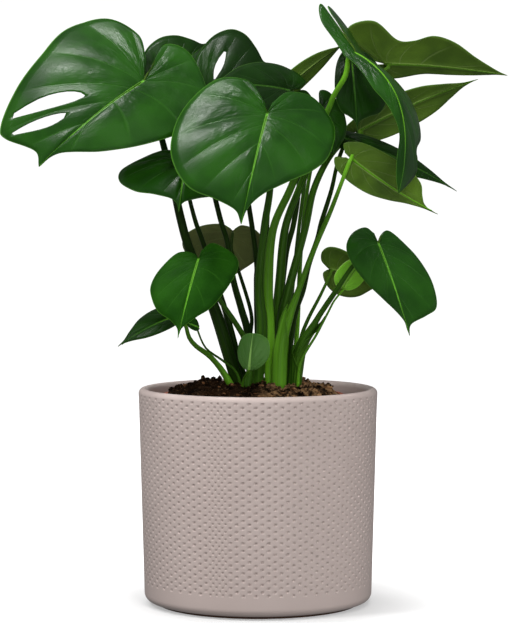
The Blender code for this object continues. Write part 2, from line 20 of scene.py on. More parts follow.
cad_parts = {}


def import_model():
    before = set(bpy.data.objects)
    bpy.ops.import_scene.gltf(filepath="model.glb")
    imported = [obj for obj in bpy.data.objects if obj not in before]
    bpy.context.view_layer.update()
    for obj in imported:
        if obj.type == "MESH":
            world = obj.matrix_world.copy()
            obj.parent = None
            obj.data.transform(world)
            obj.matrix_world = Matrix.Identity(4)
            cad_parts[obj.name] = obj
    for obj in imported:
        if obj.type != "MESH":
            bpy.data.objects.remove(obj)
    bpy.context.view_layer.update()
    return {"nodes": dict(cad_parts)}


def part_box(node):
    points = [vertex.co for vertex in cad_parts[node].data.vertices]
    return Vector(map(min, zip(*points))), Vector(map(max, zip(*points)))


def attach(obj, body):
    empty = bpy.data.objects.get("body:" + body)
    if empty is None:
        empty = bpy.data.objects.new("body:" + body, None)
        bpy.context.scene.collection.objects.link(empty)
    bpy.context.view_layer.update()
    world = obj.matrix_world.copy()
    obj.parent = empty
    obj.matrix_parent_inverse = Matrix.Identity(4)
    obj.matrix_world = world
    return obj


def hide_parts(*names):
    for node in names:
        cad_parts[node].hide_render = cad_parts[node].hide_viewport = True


LOG = logging.getLogger("potted_monstera")
MM = 0.001
TOUCHING = 1e-5

Colour = tuple[float, float, float]
Point = tuple[float, float, float]
Pair = tuple[float, float]
Outline = tuple[Pair, ...]


# ---------------------------------------------------------------------------------------------
# Shader sheets
# ---------------------------------------------------------------------------------------------


class ShaderSheet:
    """The node sheet of one material, with short calls that add nodes and join them."""

    def __init__(self, name: str) -> None:
        """Start a material.

        Args:
            name: The material's name.
        """
        self.material: Material = bpy.data.materials.new(name)
        self.material.use_nodes = True
        self.tree = self.material.node_tree
        self.shader: Node = self.tree.nodes["Principled BSDF"]

    def add(self, kind: str, **settings: object) -> Node:
        """Add a node.

        Args:
            kind: The node's type, without its ShaderNode prefix.
            settings: Properties to set on the node.

        Returns:
            The new node.
        """
        node = self.tree.nodes.new(f"ShaderNode{kind}")
        for key, value in settings.items():
            setattr(node, key, value)
        return node

    def feed(self, socket: NodeSocket, value: object) -> None:
        """Join a socket to another one, or set its value.

        Args:
            socket: The input socket.
            value: An output socket, or the value to set.
        """
        if isinstance(value, NodeSocket):
            self.tree.links.new(value, socket)
        elif isinstance(value, tuple) and len(value) == 3 and socket.type == "RGBA":
            socket.default_value = (*value, 1.0)
        else:
            socket.default_value = value

    def place(self, scale: Point = (1.0, 1.0, 1.0)) -> NodeSocket:
        """Object coordinates, scaled.

        Args:
            scale: The scale along each axis.

        Returns:
            The vector socket.
        """
        mapping = self.add("Mapping")
        self.feed(mapping.inputs["Vector"], self.add("TexCoord").outputs["Object"])
        mapping.inputs["Scale"].default_value = scale
        return mapping.outputs["Vector"]

    def attribute(self, name: str) -> NodeSocket:
        """A number that is stored on the mesh.

        Args:
            name: The attribute's name.

        Returns:
            Its value socket.
        """
        return self.add("Attribute", attribute_name=name).outputs["Fac"]

    def joined(self, x: object, y: object, z: object = 0.0) -> NodeSocket:
        """A vector from three numbers.

        Args:
            x: First part.
            y: Second part.
            z: Third part.

        Returns:
            The vector socket.
        """
        node = self.add("CombineXYZ")
        for socket, value in zip(node.inputs, (x, y, z)):
            self.feed(socket, value)
        return node.outputs["Vector"]

    def maths(self, operation: str, first: object, second: object = 0.0) -> NodeSocket:
        """One step of arithmetic.

        Args:
            operation: The Math node's operation.
            first: First number.
            second: Second number, where the operation takes two.

        Returns:
            The result's socket.
        """
        node = self.add("Math", operation=operation)
        self.feed(node.inputs[0], first)
        self.feed(node.inputs[1], second)
        return node.outputs[0]

    def noise(
        self, vector: NodeSocket, scale: float, detail: float = 2.0, rough: float = 0.5
    ) -> NodeSocket:
        """Fractal noise.

        Args:
            vector: Where to read it.
            scale: Its scale.
            detail: Its number of octaves.
            rough: How strong the finer octaves are.

        Returns:
            Its value socket, from 0 to 1.
        """
        node = self.add("TexNoise")
        self.feed(node.inputs["Vector"], vector)
        node.inputs["Scale"].default_value = scale
        node.inputs["Detail"].default_value = detail
        node.inputs["Roughness"].default_value = rough
        return node.outputs["Fac"]

    def cells(self, vector: NodeSocket, scale: float) -> NodeSocket:
        """Distance to the edges of a cell pattern.

        Args:
            vector: Where to read it.
            scale: Its scale.

        Returns:
            Its distance socket.
        """
        node = self.add("TexVoronoi", feature="DISTANCE_TO_EDGE")
        self.feed(node.inputs["Vector"], vector)
        node.inputs["Scale"].default_value = scale
        return node.outputs["Distance"]

    def ease(
        self, value: NodeSocket, low: float, high: float, first: float = 0.0, last: float = 1.0
    ) -> NodeSocket:
        """A value that eases between two limits.

        Args:
            value: What is read.
            low: Where the change starts.
            high: Where it ends.
            first: The result up to low.
            last: The result from high on.

        Returns:
            The result's socket.
        """
        node = self.add("MapRange", interpolation_type="SMOOTHSTEP")
        for socket, number in zip(node.inputs, (value, low, high, first, last)):
            self.feed(socket, number)
        return node.outputs[0]

    def mix(self, share: object, first: object, second: object) -> NodeSocket:
        """A mix of two colours.

        Args:
            share: How much of the second.
            first: First colour.
            second: Second colour.

        Returns:
            The colour socket.
        """
        node = self.add("Mix", data_type="RGBA")
        self.feed(node.inputs[0], share)
        self.feed(node.inputs[6], first)
        self.feed(node.inputs[7], second)
        return node.outputs[2]

    def bump(self, height: NodeSocket, strength: float, distance: float) -> None:
        """Give the surface a fine relief.

        Args:
            height: The relief, from 0 to 1.
            strength: How strong it is.
            distance: Its depth in metres.
        """
        node = self.add("Bump")
        node.inputs["Strength"].default_value = strength
        node.inputs["Distance"].default_value = distance
        self.feed(node.inputs["Height"], height)
        self.feed(self.shader.inputs["Normal"], node.outputs["Normal"])

    def surface(self, colour: object, roughness: object, **sockets: object) -> Material:
        """Set the shader and return the finished material.

        Args:
            colour: Base colour.
            roughness: Roughness.
            sockets: Other inputs of the shader, with _ for a space.

        Returns:
            The material.
        """
        self.feed(self.shader.inputs["Base Color"], colour)
        self.feed(self.shader.inputs["Roughness"], roughness)
        for key, value in sockets.items():
            self.feed(self.shader.inputs[key.replace("_", " ")], value)
        return self.material


# ---------------------------------------------------------------------------------------------
# Finishes
# ---------------------------------------------------------------------------------------------


@dataclass(frozen=True)
class Glaze:
    """Satin stoneware glaze with a faint mottle."""

    name: str
    light: Colour
    dark: Colour
    roughness: float = 0.34
    patch_scale: float = 9.0
    speck_scale: float = 900.0

    def build(self) -> Material:
        """Build the glaze's material.

        Returns:
            The material.
        """
        sheet = ShaderSheet(self.name)
        broad = sheet.noise(sheet.place(), self.patch_scale, 3.0)
        fine = sheet.noise(sheet.place(), self.speck_scale, 2.0)
        colour = sheet.mix(sheet.ease(broad, 0.25, 0.75), self.dark, self.light)
        colour = sheet.mix(sheet.ease(fine, 0.55, 0.75, 0.0, 0.3), colour, self.dark)
        sheet.bump(fine, 0.08, 0.0002)
        roughness = sheet.ease(broad, 0.3, 0.7, self.roughness - 0.04, self.roughness + 0.05)
        return sheet.surface(colour, roughness, Specular_IOR_Level=0.6)


@dataclass(frozen=True)
class BareClay:
    """Unglazed fired clay, sandy and dull."""

    name: str
    light: Colour
    dark: Colour
    grain_scale: float = 1400.0

    def build(self) -> Material:
        """Build the clay's material.

        Returns:
            The material.
        """
        sheet = ShaderSheet(self.name)
        grain = sheet.noise(sheet.place(), self.grain_scale, 4.0, 0.7)
        colour = sheet.mix(sheet.ease(grain, 0.35, 0.7), self.dark, self.light)
        sheet.bump(grain, 0.4, 0.0004)
        return sheet.surface(colour, 0.85)


@dataclass(frozen=True)
class MouldedPlastic:
    """Dull moulded plastic with a fine texture and soil rubbed into it."""

    name: str
    colour: Colour
    soiled: Colour
    dirt_scale: float = 60.0
    grain_scale: float = 1600.0

    def build(self) -> Material:
        """Build the plastic's material.

        Returns:
            The material.
        """
        sheet = ShaderSheet(self.name)
        dirt = sheet.noise(sheet.place(), self.dirt_scale, 5.0, 0.6)
        grain = sheet.noise(sheet.place(), self.grain_scale, 2.0)
        colour = sheet.mix(sheet.ease(dirt, 0.5, 0.75, 0.0, 0.7), self.colour, self.soiled)
        sheet.bump(grain, 0.15, 0.0002)
        return sheet.surface(colour, sheet.ease(dirt, 0.4, 0.8, 0.5, 0.8))


@dataclass(frozen=True)
class Earth:
    """Potting soil: dark moist peat with paler crumbs towards +X, and fibres and specks.

    The last two fields are the places along X, in metres, between which the paler crumbs appear.
    """

    name: str
    dark: Colour
    light: Colour
    speck: Colour
    clod_scale: float = 90.0
    fibre_scale: float = 420.0
    paler_from: float = -0.01
    paler_to: float = 0.03

    def build(self) -> Material:
        """Build the soil's material.

        Returns:
            The material.
        """
        sheet = ShaderSheet(self.name)
        clods = sheet.noise(sheet.place(), self.clod_scale, 5.0, 0.7)
        fibres = sheet.noise(sheet.place((1.0, 3.0, 1.0)), self.fibre_scale, 3.0, 0.6)
        colour = sheet.mix(sheet.ease(clods, 0.35, 0.68), self.dark, self.light)
        axes = sheet.add("SeparateXYZ")
        sheet.feed(axes.inputs[0], sheet.place())
        # Towards +X the lighter clods take the speck colour, so the soil is paler on that side.
        side = sheet.ease(axes.outputs["X"], self.paler_from, self.paler_to)
        paler = sheet.maths("MULTIPLY", side, sheet.ease(clods, 0.44, 0.60))
        colour = sheet.mix(sheet.maths("MULTIPLY", paler, 0.8), colour, self.speck)
        colour = sheet.mix(sheet.ease(fibres, 0.60, 0.72, 0.0, 0.8), colour, self.speck)
        sheet.bump(sheet.maths("ADD", clods, fibres), 0.7, 0.0015)
        return sheet.surface(colour, sheet.ease(clods, 0.3, 0.7, 0.75, 0.97), Specular_IOR_Level=0.1)


@dataclass(frozen=True)
class StalkSkin:
    """Smooth waxy skin of a leaf stalk, paler at its foot and at its neck, with fine streaks.

    pale_reach is the share of the stalk's length over which the foot's colour fades out.
    """

    name: str
    base: Colour
    shade: Colour
    foot: Colour
    roughness: float = 0.36
    pale_reach: float = 0.16
    streaks_round: float = 9.0
    freckle_scale: float = 700.0

    def build(self) -> Material:
        """Build the skin's material.

        Returns:
            The material.
        """
        sheet = ShaderSheet(self.name)
        share = sheet.attribute("share")
        turn = sheet.attribute("turn")
        streak = sheet.noise(sheet.joined(sheet.maths("MULTIPLY", turn, self.streaks_round), share), 4.0, 3.0)
        freckle = sheet.noise(sheet.place(), self.freckle_scale, 1.0)
        colour = sheet.mix(sheet.ease(streak, 0.35, 0.65), self.shade, self.base)
        colour = sheet.mix(sheet.ease(share, 0.02, self.pale_reach, 0.8, 0.0), colour, self.foot)
        colour = sheet.mix(sheet.ease(share, 0.80, 0.93, 0.0, 0.55), colour, self.foot)
        colour = sheet.mix(sheet.ease(freckle, 0.72, 0.78, 0.0, 0.5), colour, self.shade)
        sheet.bump(streak, 0.12, 0.0006)
        return sheet.surface(colour, self.roughness, Specular_IOR_Level=0.2)


@dataclass(frozen=True)
class BladeSkin:
    """One face of a leaf blade, with its midrib, its side veins and its pale margin.

    midrib_width is half the midrib's width at the joint, in millimetres.
    """

    name: str
    base: Colour
    shade: Colour
    midrib: Colour
    vein: Colour
    margin: Colour
    roughness: float
    vein_strength: float
    midrib_width: float = 1.5
    pucker: float = 1.0
    gloss: float = 0.38
    blotch_scale: float = 26.0
    fleck_scale: float = 380.0
    net_scale: float = 520.0

    def build(self, veins: int) -> Material:
        """Build the face's material.

        Args:
            veins: How many side veins each half of the blade has.

        Returns:
            The material.
        """
        sheet = ShaderSheet(f"{self.name}_{veins}")
        rib = sheet.attribute("rib")
        reach = sheet.maths("ABSOLUTE", sheet.attribute("reach"))
        lateral = sheet.maths("ABSOLUTE", sheet.attribute("lateral"))
        along = sheet.attribute("along")
        broad = sheet.noise(sheet.place(), self.blotch_scale, 2.0)
        fine = sheet.noise(sheet.place(), self.fleck_scale, 3.0, 0.6)
        net = sheet.cells(sheet.place(), self.net_scale)
        colour = sheet.mix(sheet.ease(broad, 0.3, 0.7), self.shade, self.base)
        colour = sheet.mix(sheet.ease(fine, 0.45, 0.8, 0.0, 0.25), colour, self.shade)
        across = sheet.maths("PINGPONG", sheet.maths("MULTIPLY", rib, float(veins)), 0.5)
        vein = sheet.ease(across, 0.012, 0.05, 1.0, 0.0)
        vein = sheet.maths("MULTIPLY", vein, sheet.ease(reach, 0.55, 0.97, 1.0, 0.15))
        colour = sheet.mix(sheet.maths("MULTIPLY", vein, self.vein_strength), colour, self.vein)
        half_width = sheet.ease(along, 0.0, 1.0, self.midrib_width, 0.35 * self.midrib_width)
        rib_share = sheet.maths("DIVIDE", lateral, half_width)
        midrib = sheet.maths(
            "MULTIPLY", sheet.ease(rib_share, 0.45, 1.1, 0.95, 0.0), sheet.ease(along, -0.015, 0.01)
        )
        midrib = sheet.maths("MULTIPLY", midrib, sheet.ease(along, 0.5, 0.95, 1.0, 0.45))
        colour = sheet.mix(midrib, colour, self.midrib)
        colour = sheet.mix(sheet.ease(reach, 0.986, 0.996), colour, self.margin)
        rows = sheet.joined(sheet.maths("MULTIPLY", rib, 22.0), sheet.maths("MULTIPLY", reach, 5.0))
        pucker = sheet.noise(rows, 1.0, 2.0, 0.5)
        strength = sheet.ease(reach, 0.35, 0.9, self.pucker, 0.25 * self.pucker)
        pucker = sheet.maths("MULTIPLY", pucker, strength)
        pucker = sheet.maths("MULTIPLY", pucker, sheet.ease(along, 0.15, 0.6, 1.0, 0.3))
        relief = sheet.maths("ADD", pucker, sheet.maths("MULTIPLY", net, 0.05))
        sheet.bump(sheet.maths("SUBTRACT", relief, sheet.maths("MULTIPLY", vein, 0.25)), 1.0, 0.0010)
        roughness = sheet.ease(fine, 0.3, 0.7, self.roughness - 0.03, self.roughness + 0.05)
        return sheet.surface(colour, roughness, Specular_IOR_Level=self.gloss)


@dataclass(frozen=True)
class LitPaper:
    """Pale studio paper that glows more strongly away from the object, so that it fades to white.

    near and far are the distances in metres between which its glow rises to full strength. The weaker glow
    near the object leaves a grey pool round the pot: painted shade, in which the real cast shadows also show.
    """

    name: str
    colour: Colour
    near: float = 0.09
    far: float = 0.26
    # Glow strength at the object: painted shade on the floor round it.
    painted_shade_glow: float = 0.35
    fleck: Colour = (0.43, 0.43, 0.43)

    def build(self) -> Material:
        """Build the paper's material.

        Returns:
            The material.
        """
        sheet = ShaderSheet(self.name)
        place = sheet.place()
        distance = sheet.add("VectorMath", operation="LENGTH")
        sheet.feed(distance.inputs[0], place)
        # Weaker glow near the object: painted shade round the pot's foot.
        glow = sheet.ease(distance.outputs["Value"], self.near, self.far, self.painted_shade_glow, 1.0)
        grain = sheet.noise(place, 600.0, 2.0)
        colour = sheet.mix(grain, self.colour, self.fleck)
        return sheet.surface(colour, 0.9, Emission_Color=(1.0, 1.0, 1.0), Emission_Strength=glow)


# ---------------------------------------------------------------------------------------------
# Shared building
# ---------------------------------------------------------------------------------------------


def finished(name: str, bm: BMesh, materials: Iterable[Material], slot: str, *nodes: str) -> Object:
    """Turn a bmesh into a smooth piece that rides on the object.

    Args:
        name: The piece's name.
        bm: Its shape, which is freed.
        materials: Its materials, in the order of their indices.
        slot: The record's material slot; not used.
        nodes: The nodes that it stands for.

    Returns:
        The piece.
    """
    mesh = bpy.data.meshes.new(name)
    bm.to_mesh(mesh)
    bm.free()
    mesh.shade_smooth()
    for material in materials:
        mesh.materials.append(material)
    piece = bpy.data.objects.new(name, mesh)
    bpy.context.scene.collection.objects.link(piece)
    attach(piece, "root")
    if nodes:
        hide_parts(*nodes)
    LOG.info("%s: %d faces", name, len(mesh.polygons))
    return piece


def thickened(piece: Object, thickness: float, offset: float) -> Modifier:
    """Give a thin piece its thickness.

    Args:
        piece: The piece.
        thickness: How thick it gets.
        offset: -1 to grow behind its faces and 1 to grow in front of them.

    Returns:
        The modifier.
    """
    solid = piece.modifiers.new("thickness", "SOLIDIFY")
    solid.thickness = thickness
    solid.offset = offset
    return solid


def eased(share: float) -> float:
    """Return share eased in and out, kept from 0 to 1."""
    share = min(1.0, max(0.0, share))
    return share * share * (3 - 2 * share)


def catmull(a: Vector, b: Vector, c: Vector, d: Vector, t: float) -> Vector:
    """Return the point at share t of the smooth curve from b to c, with a and d as its outer neighbours."""
    return 0.5 * (2 * b + (c - a) * t + (2 * a - 5 * b + 4 * c - d) * t**2 + (3 * b - a - 3 * c + d) * t**3)


def on_curve(points: list[Vector], share: float) -> Vector:
    """Find the point at a share of a smooth curve through points that are evenly apart in share.

    Args:
        points: The curve's points.
        share: From 0 at the first to 1 at the last.

    Returns:
        The point.
    """
    place = share * (len(points) - 1)
    index = min(int(place), len(points) - 2)
    b, c = points[index], points[index + 1]
    a = points[index - 1] if index else b * 2 - c
    d = points[index + 2] if index + 2 < len(points) else c * 2 - b
    return catmull(a, b, c, d, place - index)


def arc(centre: Pair, radius: float, start: float, end: float, steps: int) -> list[Pair]:
    """Return points (r, z) on an arc from start to end degrees, both included."""
    angles = [math.radians(start + (end - start) * i / steps) for i in range(steps + 1)]
    return [(centre[0] + radius * math.cos(a), centre[1] + radius * math.sin(a)) for a in angles]


def ring_edges(verts: Iterable[BMVert], edges: Iterable[BMEdge]) -> list[BMEdge]:
    """Return the edges whose two ends are both among the vertices."""
    chosen = set(verts)
    return [edge for edge in edges if all(vert in chosen for vert in edge.verts)]


def extruded(bm: BMesh, ring: list[BMEdge]) -> tuple[list[BMVert], list[BMEdge]]:
    """Extrude a ring of edges in place.

    Args:
        bm: The mesh.
        ring: The ring's edges.

    Returns:
        The new ring's vertices and its edges.
    """
    made = bmesh.ops.extrude_edge_only(bm, edges=ring)["geom"]
    verts = [item for item in made if isinstance(item, BMVert)]
    edges = [item for item in made if isinstance(item, BMEdge)]
    return verts, ring_edges(verts, edges)


def turn_profile(bm: BMesh, ring: list[BMEdge], profile: Iterable[Pair]) -> list[BMVert]:
    """Carry a ring round the Z axis along a profile of (radius, height) points.

    Args:
        bm: The mesh.
        ring: The ring's edges.
        profile: The points, with a radius of 0 only as the last.

    Returns:
        The last ring's vertices.
    """
    verts: list[BMVert] = []
    for radius, height in profile:
        verts, ring = extruded(bm, ring)
        if radius == 0:
            bmesh.ops.pointmerge(bm, verts=verts, merge_co=(0, 0, height))
            return []
        for vert in verts:
            flat = vert.co.xy.normalized() * radius
            vert.co = (flat.x, flat.y, height)
    return verts


# ---------------------------------------------------------------------------------------------
# Pots and soil
# ---------------------------------------------------------------------------------------------


@dataclass
class CoverPot:
    """The stoneware cover pot: a dimpled wall between a rounded lip and a recessed clay foot.

    The dimples lie on every other cell of a grid of rows and columns. A few narrower columns close
    the pattern at the seam. seam_share is their width over a full column's, and seam_angle is where
    they start, in degrees from the front. dimple_steps are the rings inside a dimple, each as a share
    of its radius inwards and a share of its depth down. inner_heights and plain_heights are heights
    of plain rings on the inside of the wall and below the dimpled band.
    """

    rim_radius: float
    height: float
    base_inset: float = 0.0055
    wall: float = 0.010
    floor: float = 0.009
    edge_radius: float = 0.008
    inner_fillet: float = 0.010
    foot_radius: float = 0.102
    foot_height: float = 0.003
    band_low: float = 0.0224
    band_high: float = 0.2122
    rows: int = 52
    columns: int = 120
    seam_columns: int = 6
    seam_share: float = 0.52
    seam_angle: float = -24.4
    dimple_radius: float = 0.00175
    dimple_depth: float = 0.00125
    dimple_steps: tuple[Pair, ...] = ((0.34, 0.62), (0.36, 0.38))
    inner_heights: tuple[float, ...] = (0.17, 0.12, 0.07)
    plain_heights: tuple[float, ...] = (0.0218, 0.0205, 0.0160)
    foot_edge: float = 0.0006
    glaze: Glaze = Glaze("pot_glaze", light=(0.505, 0.420, 0.392), dark=(0.475, 0.392, 0.365))
    clay: BareClay = BareClay("pot_foot_clay", light=(0.115, 0.055, 0.035), dark=(0.03, 0.014, 0.010))

    @classmethod
    def from_frame(cls) -> "CoverPot":
        """Return the pot at the size of its node."""
        _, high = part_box("cover_pot")
        return cls(rim_radius=high.x, height=high.z)

    def outer(self, z: float) -> float:
        """Work out the wall's outer radius at a height.

        Args:
            z: The height.

        Returns:
            The radius.
        """
        low = self.foot_height + self.edge_radius
        high = self.height - self.wall / 2
        return self.rim_radius - self.base_inset * (high - z) / (high - low)

    def column_angle(self, column: int) -> float:
        """Work out the angle of a column's left edge from the start of the seam.

        Args:
            column: The column's number, from 0 at the seam.

        Returns:
            The angle in radians.
        """
        full = self.columns - self.seam_columns * (1 - self.seam_share)
        narrow = min(column, self.seam_columns) * self.seam_share
        return math.tau * (narrow + max(0, column - self.seam_columns)) / full

    def dimpled_band(self) -> BMesh:
        """Make the wall's dimpled band, first flat and then wrapped round the pot.

        Returns:
            The band's shape, open along its two long edges.
        """
        bm = bmesh.new()
        bmesh.ops.create_grid(bm, x_segments=self.columns, y_segments=self.rows, size=0.5)
        pitch = (self.band_high - self.band_low) / self.rows
        mean = self.outer((self.band_low + self.band_high) / 2)
        cells = []
        for face in bm.faces:
            middle = face.calc_center_median()
            column = int((middle.x + 0.5) * self.columns)
            row = int((middle.y + 0.5) * self.rows)
            if (column + row) % 2 == 0:
                cells.append((face, self.seam_share if column < self.seam_columns else 1.0))
        for vert in bm.verts:
            column = round((vert.co.x + 0.5) * self.columns)
            row = round((vert.co.y + 0.5) * self.rows)
            vert.co = (mean * self.column_angle(column), self.band_low + pitch * row, 0)
        faces = [face for face, _ in cells]
        bmesh.ops.inset_individual(bm, faces=faces, thickness=pitch / 2 - self.dimple_radius)
        edges = {edge for face in faces for edge in face.edges}
        bmesh.ops.subdivide_edges(bm, edges=list(edges), cuts=1)
        for face, width in cells:
            centre = face.calc_center_bounds()
            reach = max(abs(vert.co.x - centre.x) for vert in face.verts)
            radius = self.dimple_radius * math.sqrt(width)
            for vert in face.verts:
                offset = vert.co - centre
                offset.x *= self.dimple_radius / reach
                vert.co = centre + offset.normalized() * radius
        for share, depth in self.dimple_steps:
            bmesh.ops.inset_individual(
                bm, faces=faces, thickness=self.dimple_radius * share, depth=-self.dimple_depth * depth
            )
        start = math.radians(self.seam_angle)
        for vert in bm.verts:
            angle = start + vert.co.x / mean
            radius = self.outer(vert.co.y) + vert.co.z
            vert.co = (radius * math.sin(angle), -radius * math.cos(angle), vert.co.y)
        bmesh.ops.remove_doubles(bm, verts=bm.verts, dist=TOUCHING)
        return bm

    def border(self, bm: BMesh, z: float) -> list[BMEdge]:
        """Return the open edges at height z."""
        return [e for e in bm.edges if e.is_boundary and all(abs(v.co.z - z) < TOUCHING for v in e.verts)]

    def build(self) -> Object:
        """Make the pot from its band: the lip and the inside above it, and the foot below it.

        Returns:
            The pot's piece.
        """
        bm = self.dimpled_band()
        lip = self.wall / 2
        inner_low = self.foot_height + self.floor + self.inner_fillet
        inner_base = self.outer(inner_low) - self.wall
        upper = arc((self.rim_radius - lip, self.height - lip), lip, 4, 180, 12)
        upper += [(self.outer(z) - self.wall, z) for z in self.inner_heights]
        upper += arc((inner_base - self.inner_fillet, inner_low), self.inner_fillet, 0, -90, 6)
        upper += [(0.06, self.foot_height + self.floor), (0, self.foot_height + self.floor)]
        turn_profile(bm, self.border(bm, self.band_high), upper)
        shoulder = self.foot_height + self.edge_radius
        base = self.outer(shoulder)
        lower = [(self.outer(z), z) for z in self.plain_heights]
        lower += arc((base - self.edge_radius, shoulder), self.edge_radius, 0, -90, 8)
        lower += [(self.foot_radius + 0.0008, self.foot_height)]
        lower += [(self.foot_radius, self.foot_height - self.foot_edge), (self.foot_radius, self.foot_edge)]
        lower += [(self.foot_radius - self.foot_edge, 0), (0.05, 0), (0, 0)]
        turn_profile(bm, self.border(bm, self.band_low), lower)
        bmesh.ops.recalc_face_normals(bm, faces=bm.faces)
        for face in bm.faces:
            low = all(vert.co.z < self.foot_height + TOUCHING for vert in face.verts)
            face.material_index = int(low and face.calc_center_median().xy.length < self.foot_radius + 0.0004)
        return finished(
            "stoneware_pot", bm, (self.glaze.build(), self.clay.build()), "cover_pot_glaze", "cover_pot"
        )


@dataclass
class PottingSoil:
    """Crumbly potting soil that fills the nursery pot and heaps up round the crown.

    Lumps and smaller clods roughen its top. spread is how far out the crumbs lie, as a share of the
    radius, and seed starts their random numbers.
    """

    centre: Vector
    radius: float
    bottom: float
    level: float
    rise: float = 0.0115
    lump_height: float = 0.0060
    lump_size: float = 0.014
    clod_height: float = 0.0035
    clod_size: float = 0.007
    spread: float = 0.965
    seed: int = 7
    rings: int = 64
    spokes: int = 168
    crumbs: int = 900
    chips: int = 110
    earth: Earth = Earth(
        "moist_soil", dark=(0.0025, 0.0013, 0.0007), light=(0.018, 0.0085, 0.004), speck=(0.30, 0.175, 0.085)
    )
    bark: Earth = Earth(
        "bark_chip", dark=(0.05, 0.022, 0.010), light=(0.17, 0.080, 0.036), speck=(0.34, 0.19, 0.09)
    )

    @classmethod
    def from_frame(cls) -> "PottingSoil":
        """Place the soil where its node lies, level with the nursery pot's rim.

        Returns:
            The soil.
        """
        low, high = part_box("potting_soil")
        _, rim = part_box("nursery_pot")
        middle = (low + high) / 2
        return cls(
            centre=Vector((middle.x, middle.y, 0)), radius=(high.x - low.x) / 2, bottom=low.z, level=rim.z
        )

    def height(self, x: float, y: float) -> float:
        """Work out the soil's height above the rim.

        Args:
            x: Distance from its own axis to the right.
            y: Distance from its own axis to the back.

        Returns:
            The height.
        """
        out = min(1.0, math.hypot(x, y) / self.radius)
        mound = self.rise * (1 - out**7)
        here = Vector((x, y, 0.0))
        lumps = noise.noise((here + Vector((0, 0, 0.31))) / self.lump_size)
        clods = noise.turbulence(here / self.clod_size, 3, False) - 0.5
        return mound + (self.lump_height * lumps + self.clod_height * clods) * (1 - 0.7 * out**8)

    def build_surface(self, earth: Material) -> Object:
        """Make the body of soil: its wall first, then its top in rings.

        Args:
            earth: Its material.

        Returns:
            The soil's piece.
        """
        bm = bmesh.new()
        circle = bmesh.ops.create_circle(bm, segments=self.spokes, radius=self.radius * 0.8)["verts"]
        bmesh.ops.translate(bm, verts=circle, vec=(0, 0, self.bottom))
        ring = ring_edges(circle, bm.edges)
        wall = [(self.radius - 0.0022, self.level - 0.016), (self.radius, self.level - 0.012)]
        turn_profile(bm, ring, [(self.radius * 0.81, self.bottom)] + wall + [(self.radius, self.level)])
        open_top = [e for e in bm.edges if e.is_boundary and e.verts[0].co.z > self.level - TOUCHING]
        top = [(self.radius * (1 - i / self.rings), self.level) for i in range(1, self.rings + 1)]
        turn_profile(bm, open_top, top)
        bmesh.ops.holes_fill(bm, edges=[e for e in bm.edges if e.is_boundary], sides=self.spokes)
        bmesh.ops.recalc_face_normals(bm, faces=bm.faces)
        for vert in bm.verts:
            if vert.co.z > self.level - TOUCHING:
                vert.co.z = self.level + self.height(vert.co.x, vert.co.y)
        bmesh.ops.translate(bm, verts=bm.verts, vec=self.centre)
        return finished("soil_body", bm, (earth,), "potting_soil", "potting_soil")

    def scattered(self, count: int, sizes: Pair, flatness: float, chance: random.Random) -> BMesh:
        """Strew small lumps over the soil.

        Args:
            count: How many.
            sizes: The smallest and the largest radius.
            flatness: How flat they are, as height over length.
            chance: The source of random numbers.

        Returns:
            Their shape.
        """
        bm = bmesh.new()
        for _ in range(count):
            away = self.radius * self.spread * math.sqrt(chance.random())
            angle = math.tau * chance.random()
            x, y = away * math.cos(angle), away * math.sin(angle)
            size = sizes[0] + (sizes[1] - sizes[0]) * chance.random() ** 2.5
            place = self.centre + Vector((x, y, self.level + self.height(x, y) + 0.2 * size))
            stretch = Matrix.Diagonal((1.0, 0.55 + 0.4 * chance.random(), flatness, 1.0))
            turn = Matrix.Rotation(math.tau * chance.random(), 4, "Z") @ Matrix.Rotation(
                0.9 * (chance.random() - 0.5), 4, "X"
            )
            where = Matrix.Translation(place) @ turn @ stretch
            lump = bmesh.ops.create_icosphere(bm, subdivisions=1, radius=size, matrix=where)["verts"]
            for vert in lump:
                vert.co = place + (vert.co - place) * (0.75 + 0.5 * chance.random())
        return bm

    def build(self) -> None:
        """Make the soil, its crumbs and its chips of bark."""
        earth = self.earth.build()
        self.build_surface(earth)
        chance = random.Random(self.seed)
        crumbs = self.scattered(self.crumbs, (0.0010, 0.0036), 0.8, chance)
        finished("soil_crumbs", crumbs, (earth,), "potting_soil")
        chips = self.scattered(self.chips, (0.0018, 0.0050), 0.35, chance)
        finished("bark_chips", chips, (self.bark.build(),), "potting_soil")


# ---------------------------------------------------------------------------------------------
# The plant's layout
# ---------------------------------------------------------------------------------------------


@dataclass(frozen=True)
class Girth:
    """Diameters of a leaf stalk: at its sheathed foot, along its shaft and at its neck."""

    foot: float
    shaft: float
    neck: float


STOUT = Girth(foot=0.0140, shaft=0.0092, neck=0.0050)
STURDY = Girth(foot=0.0118, shaft=0.0076, neck=0.0046)
MEDIUM = Girth(foot=0.0080, shaft=0.0056, neck=0.0036)
SHEATHED = Girth(foot=0.0122, shaft=0.0056, neck=0.0036)
SLIM = Girth(foot=0.0050, shaft=0.0040, neck=0.0028)
FINE = Girth(foot=0.0032, shaft=0.0026, neck=0.0018)

# Metres between neighbouring stalks in the crown, and how deep they stand in the soil.
FOOT_PITCH = 0.0152
STALK_DEPTH = 0.024

